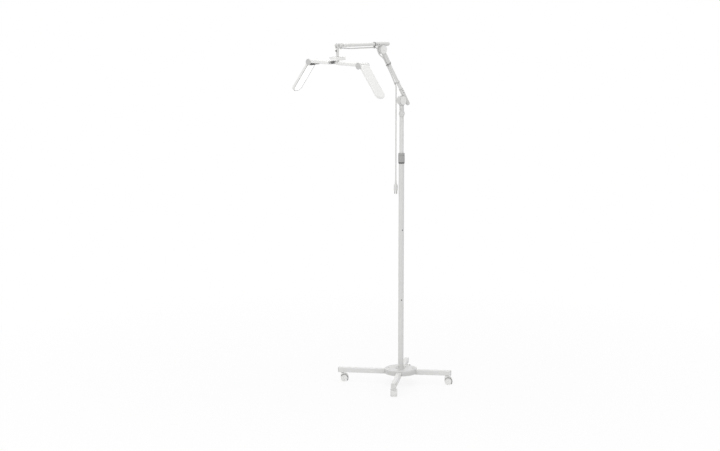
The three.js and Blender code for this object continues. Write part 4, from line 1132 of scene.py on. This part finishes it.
def wingOutline(grow, start):
    # round far end, square at the hinge
    def outline(inset):
        w = wing["half"] + grow - inset
        end = wing["length"] + grow - inset
        r = wing["tip"] + grow - inset
        near = start + inset
        points = [(near, -w)]
        for cy, a0 in ((-w + r, -90), (w - r, 0)):
            for k in range(17):
                a = math.radians(a0 + 90 * k / 16)
                points.append((end - r + r * math.cos(a), cy + r * math.sin(a)))
        points.append((near, w))
        return points
    return outline


def pinBore():
    return alongY(rod(link["pin"] + 0.35, -40, 40, 0.05, 32))


def wingPlate(grow, start, z0, z1, edge, steps=4):
    return plateMesh(wingOutline(grow, start), z0, z1, edge, steps)


def addWing(side):
    where = wingFrame(side)
    body = f"wing_{side}"
    low, high = -wing["under"], wing["thick"] - wing["under"]
    shell = wingPlate(0, wing["start"], low, high, 2.6, 6)
    tray = wingPlate(-wing["wall"], wing["tray"], low - 2, high - wing["wall"], 0.2)
    inside = link["half"] - link["earWall"] - 0.3

    def barrel():
        return alongY(rod(link["barrel"], -inside, inside, 0.6, 72))

    root = block(0, wing["start"] + 3, -inside, inside, 5, high - 0.05, 0.5)
    # skirt under the root, drawn dark with the barrel's lower part: painted shade below the hinge
    under = block(0, wing["skirt"], -inside + 0.2, inside - 0.2, low - 0.8, 5.2, 0.4)
    groove = cutBy(wingPlate(-5.0, wing["start"] + 5, high - 0.35, high + 1, 0.05),
                   wingPlate(-5.7, wing["start"] + 5.7, high - 1, high + 2, 0.05))
    case = cutBy(joined(cutBy(shell, tray), root), groove, pinBore())
    place(f"wingCase_{side}", case, where, whiteShell, body, [f"wing_shell_{side}"], bevel=0.2)
    # the barrel is drawn twice: the upper part white, the lower part dark as painted shade on the underside
    upper = cutBy(barrel(), pinBore(), block(-20, 20, -40, 40, -20, -1.5, 0.05))
    place(f"hingeCore_{side}", upper, where, whiteShell, body)
    lower = cutBy(joined(barrel(), under), pinBore(), block(-20, -0.01, -40, 40, -1.3, 20, 0.05))
    place(f"hingeUnderShade_{side}", lower, where, darkBand, body)
    back = wingPlate(-5.9, wing["start"] + 5.9, high - 0.3, high - 0.02, 0.1)
    place(f"backPanel_{side}", back, where, wingBack, body)
    lip = -wing["wall"] - 0.3
    start = wing["tray"] + 0.3
    edge = cutBy(wingPlate(lip, start, low - 0.15, low + 2, 0.15),
                 wingPlate(lip - 2.1, start + 2.1, low - 1, low + 4, 0.05))
    place(f"panelFrame_{side}", edge, where, frameLine, body)
    glow = wingPlate(lip - 1.1, start + 1.1, low + 0.05, low + wing["diffuser"], 0.5)
    place(f"opalPanel_{side}", glow, where, opalPanel, body, [f"diffuser_{side}"])
    top = high - wing["wall"] - 0.3
    board = wingPlate(lip - 2, start + 4, top - wing["board"], top, 0.1)
    place(f"ledBoard_{side}", board, where, boardCoat, body, [f"led_board_{side}"])
    face, half = top - wing["board"], wing["chip"] / 2
    chips = [moved(block(-half, half, -half, half, face - 0.8, face, 0.2), shift(x, y))
             for x in range(36, 176, 14) for y in (-14, 0, 14)]
    place(f"ledChips_{side}", merged(*chips), where, opalPanel, body)


addFork()
addClevis()
addHeadScrews()
addBox()
addCentre()
for side in ("left", "right"):
    addLink(side)
    addPin(side)
    addWing(side)
print("head built")


keptNodes = {"hub_spider": zincPlate, "pole_flange": zincPlate, "guide_bush": darkBand,
             "pole_top_spigot": brightAlloy, "head_spigot": zincPlate}


def dressNodes():
    for name, look in keptNodes.items():
        obj = frame["nodes"][name]
        obj.data.materials.clear()
        obj.data.materials.append(look)
        soft = obj.modifiers.new("softEdges", "BEVEL")
        soft.width = 0.4 * mm
        soft.segments = 2
        soft.limit_method = "ANGLE"


dressNodes()


# the floor's half side, height and paint, how it whitens away from the lamp, and the sky's light
studio = dict(reach=14.0, floorZ=-0.0005, paint=0.92, whiteFrom=0.5, whiteTo=2.6, nearWhite=0.86, sky=0.60)
lamps = {
    "keyPanel": dict(at=(1.2, -4.2, 3.6), aim=(0, 0, 1.1), size=3.0, power=62),
    "fillPanel": dict(at=(4.6, 0.6, 2.4), aim=(0, 0, 1.0), size=2.6, power=15),
    "topPanel": dict(at=(0.0, 0.2, 4.6), aim=(0, 0, 0), size=2.6, power=36),
    "backPanel": dict(at=(-3.6, 3.0, 2.6), aim=(0, 0, 1.1), size=2.4, power=18),
}


def seenDirectly(tree):
    # 1 where the camera, a mirror or glass looks
    path = node(tree, "LightPath").outputs
    either = maths(tree, "MAXIMUM", path["Is Camera Ray"], path["Is Glossy Ray"])
    return maths(tree, "MAXIMUM", either, path["Is Transmission Ray"])


def addSky():
    sky = bpy.data.worlds.new("studioSky")
    sky.use_nodes = True
    bpy.context.scene.world = sky
    tree = sky.node_tree
    tree.nodes.clear()
    light, seen = [node(tree, "Background", {"Color": (1, 1, 1, 1), "Strength": strength}).outputs[0]
                   for strength in (studio["sky"], 1.0)]
    mix = node(tree, "MixShader", {"Fac": seenDirectly(tree), 1: light, 2: seen})
    node(tree, "OutputWorld", {"Surface": mix.outputs[0]})


def addFloor():
    mesh = bpy.data.meshes.new("studioFloor")
    r, z = studio["reach"], studio["floorZ"]
    mesh.from_pydata([(-r, -r, z), (r, -r, z), (r, r, z), (-r, r, z)], [], [(0, 1, 2, 3)])
    floor = bpy.data.objects.new("studioFloor", mesh)
    bpy.context.scene.collection.objects.link(floor)
    look = bpy.data.materials.new("paleFloor")
    look.use_nodes = True
    tree = look.node_tree
    shader = tree.nodes["Principled BSDF"]
    feed(tree, shader.inputs["Base Color"], (*[studio["paint"]] * 3, 1))
    feed(tree, shader.inputs["Roughness"], 0.7)
    glow = node(tree, "Emission", {"Strength": 1.0})
    coords = node(tree, "TexCoord").outputs["Object"]
    distance = node(tree, "VectorMath", {0: coords}, operation="LENGTH").outputs["Value"]
    share = span(tree, distance, studio["whiteFrom"], studio["whiteTo"], studio["nearWhite"], 1.0)
    share = maths(tree, "MULTIPLY", share, seenDirectly(tree))
    mix = node(tree, "MixShader", {"Fac": share, 1: shader.outputs[0], 2: glow.outputs[0]})
    feed(tree, tree.nodes["Material Output"].inputs["Surface"], mix.outputs[0])
    mesh.materials.append(look)


def addLamps():
    for name, values in lamps.items():
        data = bpy.data.lights.new(name, "AREA")
        data.energy = values["power"]
        data.size = values["size"]
        obj = bpy.data.objects.new(name, data)
        obj.location = values["at"]
        aim = Vector(values["aim"]) - Vector(values["at"])
        obj.rotation_euler = aim.to_track_quat("-Z", "Y").to_euler()
        bpy.context.scene.collection.objects.link(obj)


addSky()
addFloor()
addLamps()
bpy.context.scene.view_settings.view_transform = "Standard"
print("stage lit")
